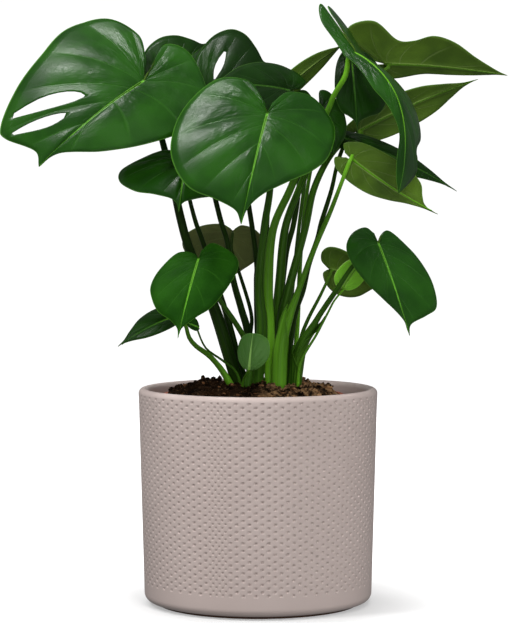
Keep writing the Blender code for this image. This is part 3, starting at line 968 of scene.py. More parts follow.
# Outlines of half a blade that several leaves share, and the point that every outline ends at.
HEART = ((0.08, -0.12), (0.42, -0.20), (0.82, -0.06), (1.00, 0.16), (0.96, 0.42), (0.72, 0.64),
         (0.36, 0.80), (0.08, 0.90))
BROAD = ((0.08, -0.10), (0.40, -0.15), (0.80, 0.00), (1.00, 0.25), (1.00, 0.50), (0.78, 0.68),
         (0.40, 0.76), (0.14, 0.82), (0.04, 0.88))
SHORT_LOBED = ((0.06, -0.06), (0.28, -0.12), (0.68, -0.05), (0.98, 0.12), (1.04, 0.34), (0.86, 0.56),
               (0.46, 0.74), (0.12, 0.88))
DEEP_LOBED = ((0.06, -0.20), (0.28, -0.50), (0.70, -0.46), (1.00, -0.12), (0.96, 0.30), (0.70, 0.60),
              (0.34, 0.80), (0.08, 0.92))
EVEN_TAPER = ((0.06, -0.06), (0.40, -0.14), (0.86, -0.04), (1.00, 0.14), (0.92, 0.34), (0.62, 0.52),
              (0.28, 0.68), (0.08, 0.84))
ROUND = ((0.12, -0.02), (0.50, 0.04), (0.88, 0.24), (0.98, 0.50), (0.84, 0.78), (0.46, 0.94),
         (0.12, 0.99))
TIP = (0.0, 1.0)


class Tone(Enum):
    """The colours of a leaf's upper face, its under face or its stalk."""

    MATURE = "mature"
    # DARK blade tops and stalks are darkened copies of MATURE: painted shade for leaves and stalks deep in
    # the canopy.
    DARK = "dark"
    YOUNG = "young"
    PALE = "pale"
    MATT = "matt"


@dataclass(frozen=True)
class Slot:
    """A window in one half of a blade, round a rib and between two distances from the midrib."""

    side: int
    ribs: Pair
    reach: Pair


@dataclass(frozen=True)
class Leaf:
    """A blade and its stalk, in millimetres from the centre of the nursery pot's rim.

    joint is where the stalk meets the blade, and tip is the blade's point. left and right run from
    the midrib to the margin where each half is widest, seen from above the blade with its tip ahead.
    margins are the outlines of those halves, as (share of the half width, share of the midrib), from
    the notch by the joint round to the tip. arch lifts the midrib and curl drops the margins. foot
    is the stalk's place in the crown, in pitches of the stoutest stalk, and route is the points its
    centre line passes between the soil and the blade. veins is the number of side veins on each half,
    and quilt scales the relief between them.
    """

    name: str
    joint: Point
    tip: Point
    left: Point
    right: Point
    girth: Girth
    foot: Pair
    route: tuple[Point, ...]
    margins: tuple[Outline, Outline] = (HEART, HEART)
    arch: float = 0.06
    curl: float = 0.12
    slots: tuple[Slot, ...] = ()
    tone: Tone = Tone.MATURE
    under_tone: Tone = Tone.MATURE
    stalk_tone: Tone = Tone.MATURE
    veins: int = 7
    quilt: float = 1.0


LEAVES = (
    Leaf(
        name="upper_left",
        joint=(-113, -20, 314),
        tip=(-213, -75, 228),
        left=(52, -29, -39),
        right=(-57, 41, 61),
        margins=(
            ((-0.10, -0.13), (-0.27, -0.33), (0.00, -0.40), (0.40, -0.34), (0.80, -0.20), (0.98, 0.08),
             (0.84, 0.36), (0.50, 0.64), (0.08, 0.84)),
            ((0.18, -0.12), (0.52, -0.22), (0.98, -0.14), (1.17, 0.13), (1.06, 0.45), (0.93, 0.74),
             (0.71, 1.00), (0.54, 1.04), (0.17, 0.95)),
        ),
        girth=STOUT,
        foot=(-1.15, 0.05),
        route=((-28, -2, 37), (-44, -4, 87), (-68, -6, 145), (-77, -8, 176), (-88, -4, 225), (-103, 4, 280)),
        slots=(Slot(1, (0.61, 0.685), (0.35, 0.92)), Slot(1, (0.73, 0.81), (0.38, 0.92))),
        stalk_tone=Tone.DARK,
    ),
    Leaf(
        name="behind_upper_left",
        joint=(-97, 45, 315),
        tip=(-52, 75, 356),
        left=(-23, 8, 30),
        right=(27, -12, -14),
        girth=MEDIUM,
        foot=(-0.35, 1.55),
        route=((-10, 22, 58), (-17, 24, 85), (-25, 26, 114), (-31, 28, 152), (-38, 30, 175), (-54, 34, 236),
               (-74, 38, 286)),
        tone=Tone.DARK,
        stalk_tone=Tone.DARK,
    ),
    Leaf(
        name="top_middle",
        joint=(-53, 25, 304),
        tip=(12, 45, 334),
        left=(-2, 25, 56),
        right=(4, -12, -28),
        girth=MEDIUM,
        foot=(0.15, 2.25),
        route=((-1, 34, 104), (-1, 34, 129), (-7, 34, 175), (-18, 34, 236), (-36, 32, 280)),
        slots=(Slot(-1, (0.50, 0.60), (0.20, 0.62)),),
        tone=Tone.DARK,
        stalk_tone=Tone.DARK,
    ),
    Leaf(
        name="top_dark",
        joint=(32, -2, 305),
        tip=(-49, -32, 308),
        left=(0, -32, -27),
        right=(1, 22, 27),
        girth=MEDIUM,
        foot=(0.85, 1.70),
        route=((14, 34, 60), (23, 32, 100), (29, 30, 143), (36, 29, 170), (41, 26, 205), (42, 14, 255)),
        tone=Tone.DARK,
        stalk_tone=Tone.DARK,
    ),
    Leaf(
        name="top_folded",
        joint=(21, 22, 300),
        tip=(89, 34, 354),
        left=(4, 10, -9),
        right=(-7, -4, 9),
        girth=SLIM,
        foot=(0.8, 2.75),
        route=((8, 44, 93), (10, 44, 175), (14, 38, 246)),
        stalk_tone=Tone.DARK,
    ),
    Leaf(
        name="front_centre",
        joint=(9, -70, 280),
        tip=(-16, -135, 173),
        left=(71, 1, 2),
        right=(-87, 1, 1),
        margins=(
            ((0.03, -0.10), (0.22, -0.21), (0.60, -0.15), (0.96, 0.12), (0.98, 0.40), (0.80, 0.55),
             (0.50, 0.66), (0.22, 0.76), (0.05, 0.87)),
            ((0.05, -0.10), (0.30, -0.32), (0.68, -0.35), (0.97, -0.08), (1.00, 0.26), (0.88, 0.50),
             (0.66, 0.69), (0.34, 0.80), (0.10, 0.89)),
        ),
        girth=STURDY,
        foot=(-0.1, -0.8),
        route=((4, -18, 66), (1, -20, 111), (6, -24, 166), (12, -30, 206), (13, -40, 245)),
    ),
    Leaf(
        name="middle_left",
        joint=(-71, -40, 237),
        tip=(-77, -80, 184),
        left=(44, 6, -1),
        right=(-64, 6, 2),
        margins=(
            BROAD,
            ((0.05, -0.08), (0.35, -0.15), (0.70, 0.01), (0.98, 0.22), (0.97, 0.45), (0.72, 0.64),
             (0.42, 0.71), (0.16, 0.78), (0.05, 0.86)),
        ),
        girth=MEDIUM,
        foot=(-0.65, 0.95),
        route=((-20, 12, 34), (-33, 10, 84), (-55, 4, 152), (-63, 0, 175), (-70, -8, 205)),
        under_tone=Tone.DARK,
        stalk_tone=Tone.DARK,
    ),
    Leaf(
        name="lower_left",
        joint=(-58, -75, 139),
        tip=(-77, -115, 63),
        left=(44, 5, 8),
        right=(-41, 0, -9),
        margins=(
            ((0.02, -0.10), (0.20, -0.18), (0.50, -0.10), (0.85, 0.05), (0.97, 0.22), (0.86, 0.45),
             (0.62, 0.68), (0.33, 0.78), (0.05, 0.88)),
            ((0.08, -0.06), (0.37, -0.14), (0.64, -0.14), (0.94, 0.02), (1.03, 0.22), (0.90, 0.41),
             (0.66, 0.60), (0.28, 0.76), (0.07, 0.88)),
        ),
        girth=MEDIUM,
        foot=(-0.75, -1.65),
        route=((-8, -22, 31), (-14, -30, 59), (-38, -45, 97), (-51, -55, 117)),
        tone=Tone.MATT,
    ),
    Leaf(
        name="behind_stalks",
        joint=(-26, 75, 162),
        tip=(-33, 95, 106),
        left=(-48, 0, 6),
        right=(32, 0, 1),
        margins=(SHORT_LOBED, SHORT_LOBED),
        girth=SLIM,
        foot=(-0.55, 2.2),
        route=((-8, 38, 53), (-7, 42, 79), (-20, 48, 123), (-27, 56, 144)),
        # Its under face is lightened with painted light, though it hangs in shade.
        under_tone=Tone.PALE,
        stalk_tone=Tone.DARK,
    ),
    Leaf(
        name="low_left",
        joint=(-81, -50, 82),
        tip=(-137, -72, 53),
        left=(5, -10, -7),
        right=(-5, 14, 13),
        margins=(SHORT_LOBED, SHORT_LOBED),
        girth=MEDIUM,
        foot=(-1.5, -1.75),
        route=((-33, -28, 22), (-47, -34, 40), (-61, -40, 51), (-68, -44, 60), (-72, -46, 73)),
        tone=Tone.DARK,
        stalk_tone=Tone.YOUNG,
    ),
    Leaf(
        name="at_soil",
        joint=(-9, -64, 29),
        tip=(-5, -58, 65),
        left=(-13, 2, 3),
        right=(19, -2, 1),
        margins=(ROUND, ROUND),
        girth=FINE,
        foot=(-1.05, -2.55),
        route=((-15, -40, 15), (-12, -50, 23)),
        tone=Tone.PALE,
        stalk_tone=Tone.YOUNG,
    ),
    Leaf(
        name="lower_right",
        joint=(118, -55, 154),
        tip=(147, -90, 64),
        left=(42, 6, -4),
        right=(-36, 6, 14),
        margins=(
            ((0.04, -0.02), (0.22, -0.13), (0.42, -0.14), (0.72, 0.02), (0.90, 0.20), (0.98, 0.42),
             (0.88, 0.66), (0.56, 0.77), (0.12, 0.88)),
            ((0.02, -0.10), (0.25, -0.13), (0.72, 0.01), (1.05, 0.22), (1.03, 0.42), (0.80, 0.58),
             (0.50, 0.69), (0.22, 0.78), (0.04, 0.86)),
        ),
        girth=SHEATHED,
        foot=(2.3, -1.05),
        route=((42, -24, 46), (58, -30, 76), (68, -34, 92), (78, -38, 107), (91, -42, 127), (106, -46, 145)),
    ),
    Leaf(
        name="young_bright",
        joint=(84, -22, 108),
        tip=(106, -20, 138),
        left=(11, 3, -8),
        right=(-16, -9, 4),
        margins=(ROUND, ROUND),
        girth=FINE,
        foot=(2.6, -1.9),
        route=((42, -32, 33), (58, -32, 62), (70, -32, 85), (76, -30, 96)),
        # Its YOUNG skins are partly painted light that shines through the blade.
        under_tone=Tone.YOUNG,
        tone=Tone.YOUNG,
        stalk_tone=Tone.YOUNG,
    ),
    Leaf(
        name="behind_young",
        joint=(73, 15, 125),
        tip=(130, 28, 108),
        left=(-3, 6, -22),
        right=(-9, -8, 26),
        margins=(SHORT_LOBED, SHORT_LOBED),
        girth=SLIM,
        foot=(2.55, -0.2),
        route=((42, -6, 50), (49, -4, 73), (63, 2, 100)),
    ),
    Leaf(
        name="upper_right",
        joint=(97, -20, 342),
        tip=(137, -70, 202),
        left=(22, 36, -8),
        right=(-30, -10, -10),
        margins=(
            ((0.04, -0.12), (0.10, -0.38), (0.40, -0.43), (0.80, -0.28), (0.64, -0.05), (0.66, 0.10),
             (0.86, 0.24), (1.00, 0.44), (0.92, 0.64), (0.60, 0.74), (0.70, 0.86), (0.30, 0.95)),
            ((0.03, -0.12), (0.03, -0.40), (0.18, -0.42), (0.38, -0.30), (0.36, -0.12), (0.40, 0.06),
             (0.50, 0.20), (0.54, 0.32), (0.44, 0.42), (0.32, 0.52), (0.20, 0.66), (0.26, 0.80),
             (0.20, 0.91)),
        ),
        girth=STURDY,
        foot=(0.85, -0.7),
        route=((11, -4, 65), (10, -2, 110), (15, 2, 165), (32, 4, 205), (47, 0, 240), (69, -6, 283),
               (76, -10, 300), (87, -16, 319)),
        arch=0.24,
        stalk_tone=Tone.YOUNG,
    ),
    Leaf(
        name="far_right",
        joint=(130, 68, 334),
        tip=(260, 105, 324),
        left=(-7, 8, -14),
        right=(-4, -12, 33),
        margins=(
            ((0.10, -0.10), (0.50, -0.20), (0.95, -0.05), (0.95, 0.15), (0.58, 0.36), (0.50, 0.56),
             (0.34, 0.75), (0.10, 0.90)),
            ((0.10, -0.12), (0.64, -0.28), (1.16, -0.26), (1.36, -0.06), (0.78, 0.12), (0.76, 0.26),
             (0.97, 0.43), (0.82, 0.60), (0.42, 0.76), (0.10, 0.92)),
        ),
        girth=STURDY,
        foot=(0.7, 0.75),
        route=((18, 14, 64), (22, 10, 110), (27, 10, 165), (41, 14, 205), (59, 24, 245), (92, 50, 300)),
    ),
    Leaf(
        name="right_under",
        joint=(104, 90, 266),
        tip=(229, 100, 320),
        left=(13, 8, -15),
        right=(-6, -6, 16),
        margins=(SHORT_LOBED, SHORT_LOBED),
        girth=STURDY,
        foot=(1.45, 0.1),
        route=((23, 2, 65), (32, 2, 110), (47, 8, 165), (56, 18, 205), (71, 30, 236), (88, 56, 254)),
    ),
    Leaf(
        name="right_low_folded",
        joint=(94, -5, 235),
        tip=(178, -35, 181),
        left=(-14, -8, -15),
        right=(14, 10, 20),
        margins=(EVEN_TAPER, BROAD),
        girth=SHEATHED,
        foot=(1.36, -1.9),
        route=((22, -27, 44), (27, -26, 66), (34, -24, 88), (41, -21, 107), (51, -17, 134), (60, -13, 156),
               (71, -15, 181), (81, -19, 207), (88, -21, 226)),
        stalk_tone=Tone.YOUNG,
    ),
    Leaf(
        name="right_finger",
        joint=(88, 32, 258),
        tip=(199, -6, 204),
        left=(5, 9, 9),
        right=(-6, -7, -12),
        margins=(SHORT_LOBED, SHORT_LOBED),
        girth=MEDIUM,
        foot=(1.75, 0.95),
        route=((35, 6, 73), (45, 4, 104), (51, 6, 130), (60, 10, 156), (64, 12, 173), (74, 16, 205),
               (80, 22, 231)),
        tone=Tone.DARK,
        stalk_tone=Tone.DARK,
    ),
    Leaf(
        name="behind_centre",
        joint=(63, 22, 284),
        tip=(77, 6, 240),
        left=(23, 0, 1),
        right=(-25, 0, 1),
        margins=(DEEP_LOBED, DEEP_LOBED),
        girth=SLIM,
        foot=(1.7, 1.9),
        route=((31, 32, 63), (38, 36, 134), (45, 36, 195), (53, 32, 246)),
        under_tone=Tone.DARK,
        tone=Tone.DARK,
    ),
    Leaf(
        name="dark_right",
        joint=(95, 32, 336),
        tip=(100, 8, 261),
        left=(32, -1, -3),
        right=(-19, -1, -2),
        margins=(BROAD, BROAD),
        girth=SLIM,
        foot=(2.3, 2.1),
        route=((40, 38, 64), (44, 46, 145), (52, 53, 215), (65, 54, 270), (80, 48, 306)),
        under_tone=Tone.DARK,
        tone=Tone.DARK,
        stalk_tone=Tone.YOUNG,
    ),
    Leaf(
        name="tiny_curled",
        joint=(-59, -28, 69),
        tip=(-72, -29, 74),
        left=(2, -5, -5),
        right=(1, 4, 8),
        margins=(ROUND, ROUND),
        girth=FINE,
        foot=(-1.1, -0.95),
        route=((-21, -15, 22), (-35, -18, 35), (-52, -22, 48)),
    ),
)

# The ribs up to LOBE_SHARE all start at the joint. The others start further and further along the
# midrib, the last at LAST_RIB_START, and RIB_SWEEP is how late they do so.
LOBE_SHARE = 0.28
LAST_RIB_START = 0.9
RIB_SWEEP = 2.2
# How steeply the lobes behind the joint fall, as a share of the blade's arch.
LOBE_FALL = 1.5
# The last two marks of a stalk's line below the blade, in neck diameters under the joint.
NECK_MARKS = (2.5, 0.75)


@dataclass
class Layout:
    """Where the plant stands: the height of the nursery pot's rim."""

    rim_level: float

    @classmethod
    def from_frame(cls) -> "Layout":
        """Return the layout round the nursery pot's node."""
        _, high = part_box("nursery_pot")
        return cls(rim_level=high.z)

    def point(self, place: Point) -> Vector:
        """Return a point of the plant's layout in metres."""
        return Vector((0, 0, self.rim_level)) + Vector(place) * MM


# ---------------------------------------------------------------------------------------------
# Leaf blades
# ---------------------------------------------------------------------------------------------

# The upper and the under face of a blade in each tone.
TOPS = {
    Tone.MATURE: BladeSkin(
        name="leaf_top",
        base=(0.0125, 0.068, 0.0030),
        shade=(0.0055, 0.036, 0.0015),
        midrib=(0.11, 0.34, 0.025),
        vein=(0.028, 0.115, 0.009),
        margin=(0.055, 0.18, 0.015),
        roughness=0.33,
        vein_strength=0.30,
        midrib_width=1.5,
        pucker=1.4,
        gloss=0.48,
    ),
    # Painted shade: half the MATURE colours, for blades that lie in the canopy's shadow.
    Tone.DARK: BladeSkin(
        name="leaf_top_dark",
        base=(0.0065, 0.034, 0.0016),
        shade=(0.0030, 0.016, 0.0008),
        midrib=(0.030, 0.10, 0.010),
        vein=(0.014, 0.05, 0.006),
        margin=(0.04, 0.10, 0.016),
        roughness=0.36,
        vein_strength=0.25,
    ),
    # Partly the young leaf's own lime green and partly painted light: brightened to stand for light shining
    # through the thin blade where the leaf in front shades it.
    Tone.YOUNG: BladeSkin(
        name="leaf_top_young_painted_light",
        base=(0.115, 0.42, 0.012),
        shade=(0.070, 0.28, 0.008),
        midrib=(0.26, 0.50, 0.07),
        vein=(0.20, 0.44, 0.05),
        margin=(0.26, 0.48, 0.09),
        roughness=0.42,
        vein_strength=0.35,
    ),
    Tone.PALE: BladeSkin(
        name="leaf_top_pale",
        base=(0.055, 0.145, 0.026),
        shade=(0.034, 0.100, 0.016),
        midrib=(0.20, 0.38, 0.09),
        vein=(0.09, 0.20, 0.045),
        margin=(0.12, 0.26, 0.06),
        roughness=0.40,
        vein_strength=0.35,
    ),
}
TOPS[Tone.MATT] = replace(TOPS[Tone.MATURE], name="leaf_top_matt", roughness=0.55, gloss=0.14)
UNDERS = {
    Tone.MATURE: BladeSkin(
        name="leaf_under",
        base=(0.060, 0.118, 0.009),
        shade=(0.034, 0.072, 0.006),
        midrib=(0.15, 0.24, 0.05),
        vein=(0.11, 0.165, 0.045),
        margin=(0.13, 0.22, 0.05),
        roughness=0.55,
        vein_strength=0.40,
        midrib_width=2.0,
        pucker=0.6,
    ),
    Tone.DARK: BladeSkin(
        name="leaf_under_dark",
        base=(0.075, 0.105, 0.028),
        shade=(0.045, 0.066, 0.018),
        midrib=(0.09, 0.15, 0.035),
        vein=(0.065, 0.095, 0.03),
        margin=(0.08, 0.14, 0.035),
        roughness=0.55,
        vein_strength=0.40,
        midrib_width=2.0,
        pucker=0.6,
    ),
    # Partly the young leaf's own lime green and partly painted light: brightened to stand for light shining
    # through the thin blade where the leaf in front shades it.
    Tone.YOUNG: BladeSkin(
        name="leaf_under_young_painted_light",
        base=(0.210, 0.56, 0.032),
        shade=(0.150, 0.42, 0.024),
        midrib=(0.20, 0.38, 0.06),
        vein=(0.15, 0.30, 0.045),
        margin=(0.20, 0.34, 0.07),
        roughness=0.50,
        vein_strength=0.40,
        midrib_width=2.0,
        pucker=0.6,
    ),
    # Partly a paler grey underside and partly painted light: about twice as bright as the MATURE under face,
    # to lift a blade that hangs in the stalks' shadow.
    Tone.PALE: BladeSkin(
        name="leaf_under_pale_painted_light",
        base=(0.150, 0.180, 0.055),
        shade=(0.095, 0.120, 0.036),
        midrib=(0.20, 0.26, 0.08),
        vein=(0.17, 0.22, 0.07),
        margin=(0.17, 0.24, 0.07),
        roughness=0.60,
        vein_strength=0.35,
        midrib_width=2.0,
        pucker=0.6,
    ),
}


class SkinShelf:
    """Keeps each leaf skin that has been built, so that blades share it."""

    def __init__(self) -> None:
        """Start with no skins."""
        self.built: dict[tuple[str, int], Material] = {}

    def skin(self, finish: BladeSkin, veins: int) -> Material:
        """Find a blade skin, building it the first time.

        Args:
            finish: The skin.
            veins: How many side veins each half of the blade has.

        Returns:
            Its material.
        """
        key = (finish.name, veins)
        if key not in self.built:
            self.built[key] = finish.build(veins)
        return self.built[key]

    def stalk(self, finish: StalkSkin) -> Material:
        """Find a stalk skin, building it the first time.

        Args:
            finish: The skin.

        Returns:
            Its material.
        """
        key = (finish.name, 0)
        if key not in self.built:
            self.built[key] = finish.build()
        return self.built[key]


@dataclass
class Blade:
    """One leaf blade: half ribs fan out from its midrib, and its surface swells between side veins.

    rib_bow bends the ribs towards the joint. swell and undulation are heights over the half's width,
    groove and groove_width are the channel along the midrib, in metres. large is the length from
    which a blade gets the finer grid; each grid is (steps along a margin, steps across a half), and
    grid_power packs the steps across towards the midrib.
    """

    leaf: Leaf
    layout: Layout
    thickness: float = 0.0008
    rib_bow: float = 0.06
    swell: float = 0.018
    undulation: float = 0.016
    wave_length: float = 0.045
    groove: float = 0.0009
    groove_width: float = 0.0022
    large: float = 0.09
    fine_grid: tuple[int, int] = (84, 17)
    plain_grid: tuple[int, int] = (48, 11)
    grid_power: float = 1.4

    def __post_init__(self) -> None:
        """Work out the blade's own directions, its margins and its grid."""
        self.joint = self.layout.point(self.leaf.joint)
        self.tip = self.layout.point(self.leaf.tip)
        self.halves = {-1: Vector(self.leaf.left) * MM, 1: Vector(self.leaf.right) * MM}
        across = self.halves[1] - self.halves[-1]
        self.length = (self.tip - self.joint).length
        self.up = across.cross(self.tip - self.joint).normalized()
        self.margins = {
            side: [Vector(point) for point in (*self.leaf.margins[side > 0], TIP)] for side in (-1, 1)
        }
        self.rib_steps, self.reach_steps = self.fine_grid if self.length > self.large else self.plain_grid

    def rib_start(self, rib: float) -> float:
        """Return where a rib leaves the midrib. The lobes' ribs all fan out from the joint."""
        past_lobe = max(0.0, (rib - LOBE_SHARE) / (1 - LOBE_SHARE))
        return LAST_RIB_START * past_lobe**RIB_SWEEP

    def flat_place(self, side: int, rib: float, reach: float) -> Vector:
        """Find a point of the blade before it is folded and lifted.

        Args:
            side: -1 on the left half and 1 on the right.
            rib: From 0 at the notch to 1 at the tip.
            reach: From 0 at the midrib to 1 at the margin.

        Returns:
            Its share of the half width and its share of the midrib.
        """
        start = Vector((0.0, self.rib_start(rib)))
        place = start.lerp(on_curve(self.margins[side], rib), reach)
        place.y -= self.rib_bow * 4 * reach * (1 - reach) * math.sin(math.pi * rib) ** 2
        return place

    def spread_round_slots(self, side: int, rib: float, reach: float) -> float:
        """Move a point's rib away from the windows of its half, so that they open.

        Args:
            side: -1 on the left half and 1 on the right.
            rib: From 0 at the notch to 1 at the tip.
            reach: From 0 at the midrib to 1 at the margin.

        Returns:
            The rib that it moves to.
        """
        moved = rib
        row = 1 / self.rib_steps
        for slot in self.leaf.slots:
            low, high = slot.reach
            if slot.side != side or not low <= reach <= high:
                continue
            centre = self.slot_row(slot)
            opening = (slot.ribs[1] - slot.ribs[0]) / 2
            opening *= math.sin(math.pi * ((reach - low) / (high - low)) ** 0.8) ** 0.6
            away = abs(rib - centre) - row / 2
            if away > -row / 4:
                push = (opening - row / 2) * math.exp(-max(0.0, away) / 0.06)
                moved += math.copysign(push, rib - centre)
        return moved

    def slot_row(self, slot: Slot) -> float:
        """Find the row of faces that a window opens.

        Args:
            slot: The window.

        Returns:
            The rib along the middle of that row.
        """
        row = 1 / self.rib_steps
        middle = (slot.ribs[0] + slot.ribs[1]) / 2
        return (math.floor(middle / row) + 0.5) * row

    def in_slot(self, side: int, rib: float, reach: float) -> bool:
        """Tell whether the middle of a face lies in a window.

        Args:
            side: -1 on the left half and 1 on the right.
            rib: From 0 at the notch to 1 at the tip.
            reach: From 0 at the midrib to 1 at the margin.

        Returns:
            True where the face is left out.
        """
        half_row = 0.5 / self.rib_steps
        return any(
            slot.side == side
            and slot.reach[0] < reach < slot.reach[1]
            and abs(rib - self.slot_row(slot)) < half_row
            for slot in self.leaf.slots
        )

    def relief(self, side: int, rib: float, reach: float, place: Vector) -> float:
        """Work out how far the surface stands off the smooth blade.

        Args:
            side: -1 on the left half and 1 on the right.
            rib: From 0 at the notch to 1 at the tip.
            reach: From 0 at the midrib to 1 at the margin.
            place: The point's share of the half width and of the midrib.

        Returns:
            The height.
        """
        half = self.halves[side].length
        between = abs(math.sin(math.pi * rib * self.leaf.veins)) ** 0.75
        fade = eased(reach / 0.25) * (1 - 0.75 * eased((reach - 0.65) / 0.35))
        swell = self.leaf.quilt * self.swell * half * between * fade
        here = Vector((place.x * half * side, place.y * self.length, 0.37 * len(self.leaf.name)))
        wave = self.undulation * half * noise.noise(here / self.wave_length)
        wave *= eased(reach / 0.3) * eased(abs(place.x) / 0.06)
        lateral = abs(place.x) * half / self.groove_width
        ends = eased((1 - place.y) / 0.3) * eased(place.y / 0.03 + 0.5)
        return swell + wave - self.groove * math.exp(-lateral * lateral) * ends

    def surface(self, side: int, rib: float, reach: float) -> Vector:
        """Find a point of the upper face.

        Args:
            side: -1 on the left half and 1 on the right.
            rib: From 0 at the notch to 1 at the tip.
            reach: From 0 at the midrib to 1 at the margin.

        Returns:
            The point.
        """
        place = self.flat_place(side, rib, reach)
        u, v = place
        half = self.halves[side]
        lift = 4 * v * (1 - v) if v > 0 else LOBE_FALL * v
        drop = self.leaf.curl * half.length * u * u
        rise = self.leaf.arch * self.length * lift - drop + self.relief(side, rib, reach, place)
        return self.joint + (self.tip - self.joint) * v + half * u + self.up * rise

    def midrib(self, v: float) -> Vector:
        """Return the point of the upper face at a share of the midrib."""
        rise = self.leaf.arch * self.length * 4 * v * (1 - v)
        return self.joint + (self.tip - self.joint) * v + self.up * rise

    def build(self, shelf: SkinShelf) -> Object:
        """Make the blade from a flat grid: its windows are cut, then its points are put in place.

        Args:
            shelf: The skins that are built so far.

        Returns:
            The blade's piece.
        """
        bm = bmesh.new()
        bmesh.ops.create_grid(bm, x_segments=2 * self.reach_steps, y_segments=self.rib_steps, size=1.0)
        layers = {key: bm.verts.layers.float.new(key) for key in ("rib", "reach", "lateral", "along")}
        windows = []
        for face in bm.faces:
            middle = face.calc_center_median()
            reach = abs(middle.x) ** self.grid_power
            if self.in_slot(1 if middle.x > 0 else -1, (middle.y + 1) / 2, reach):
                windows.append(face)
        bmesh.ops.delete(bm, geom=windows, context="FACES")
        for vert in bm.verts:
            side = 1 if vert.co.x > 0 else -1
            reach = abs(vert.co.x) ** self.grid_power
            rib = (vert.co.y + 1) / 2
            moved = self.spread_round_slots(side, rib, reach)
            place = self.flat_place(side, moved, reach)
            vert[layers["rib"]] = moved
            vert[layers["reach"]] = side * reach
            vert[layers["lateral"]] = side * place.x * self.halves[side].length / MM
            vert[layers["along"]] = place.y
            vert.co = self.surface(side, moved, reach)
        bmesh.ops.remove_doubles(bm, verts=bm.verts, dist=2e-5)
        bmesh.ops.dissolve_degenerate(bm, edges=bm.edges, dist=TOUCHING)
        tone = self.leaf.tone
        top = shelf.skin(TOPS[tone], self.leaf.veins)
        under = shelf.skin(UNDERS[self.leaf.under_tone], self.leaf.veins)
        name = self.leaf.name
        slot = "young_leaf_blade" if tone is Tone.YOUNG else "leaf_blade"
        piece = finished(f"blade_{name}", bm, (top, under, top), slot, f"leaf_{name}")
        solid = thickened(piece, self.thickness, -1)
        solid.material_offset = 1
        solid.material_offset_rim = 2
        return piece


# ---------------------------------------------------------------------------------------------
# Leaf stalks
# ---------------------------------------------------------------------------------------------

STALK_SKINS = {
    Tone.MATURE: StalkSkin(
        "stalk_green", base=(0.034, 0.098, 0.006), shade=(0.012, 0.044, 0.003), foot=(0.07, 0.16, 0.012)
    ),
    # Painted shade: about a third of the green stalk's colours, for stalks in the canopy's shadow.
    Tone.DARK: StalkSkin(
        "stalk_painted_shade", base=(0.011, 0.034, 0.002), shade=(0.005, 0.015, 0.001), foot=(0.024, 0.05, 0.005)
    ),
    Tone.YOUNG: StalkSkin(
        "stalk_bright",
        base=(0.055, 0.160, 0.009),
        shade=(0.035, 0.105, 0.006),
        foot=(0.15, 0.42, 0.018),
        pale_reach=0.5,
    ),
}


@dataclass(frozen=True)
class Station:
    """A place on a stalk's centre line: where it is, how thick, and its share of the length."""

    place: Vector
    radius: float
    share: float


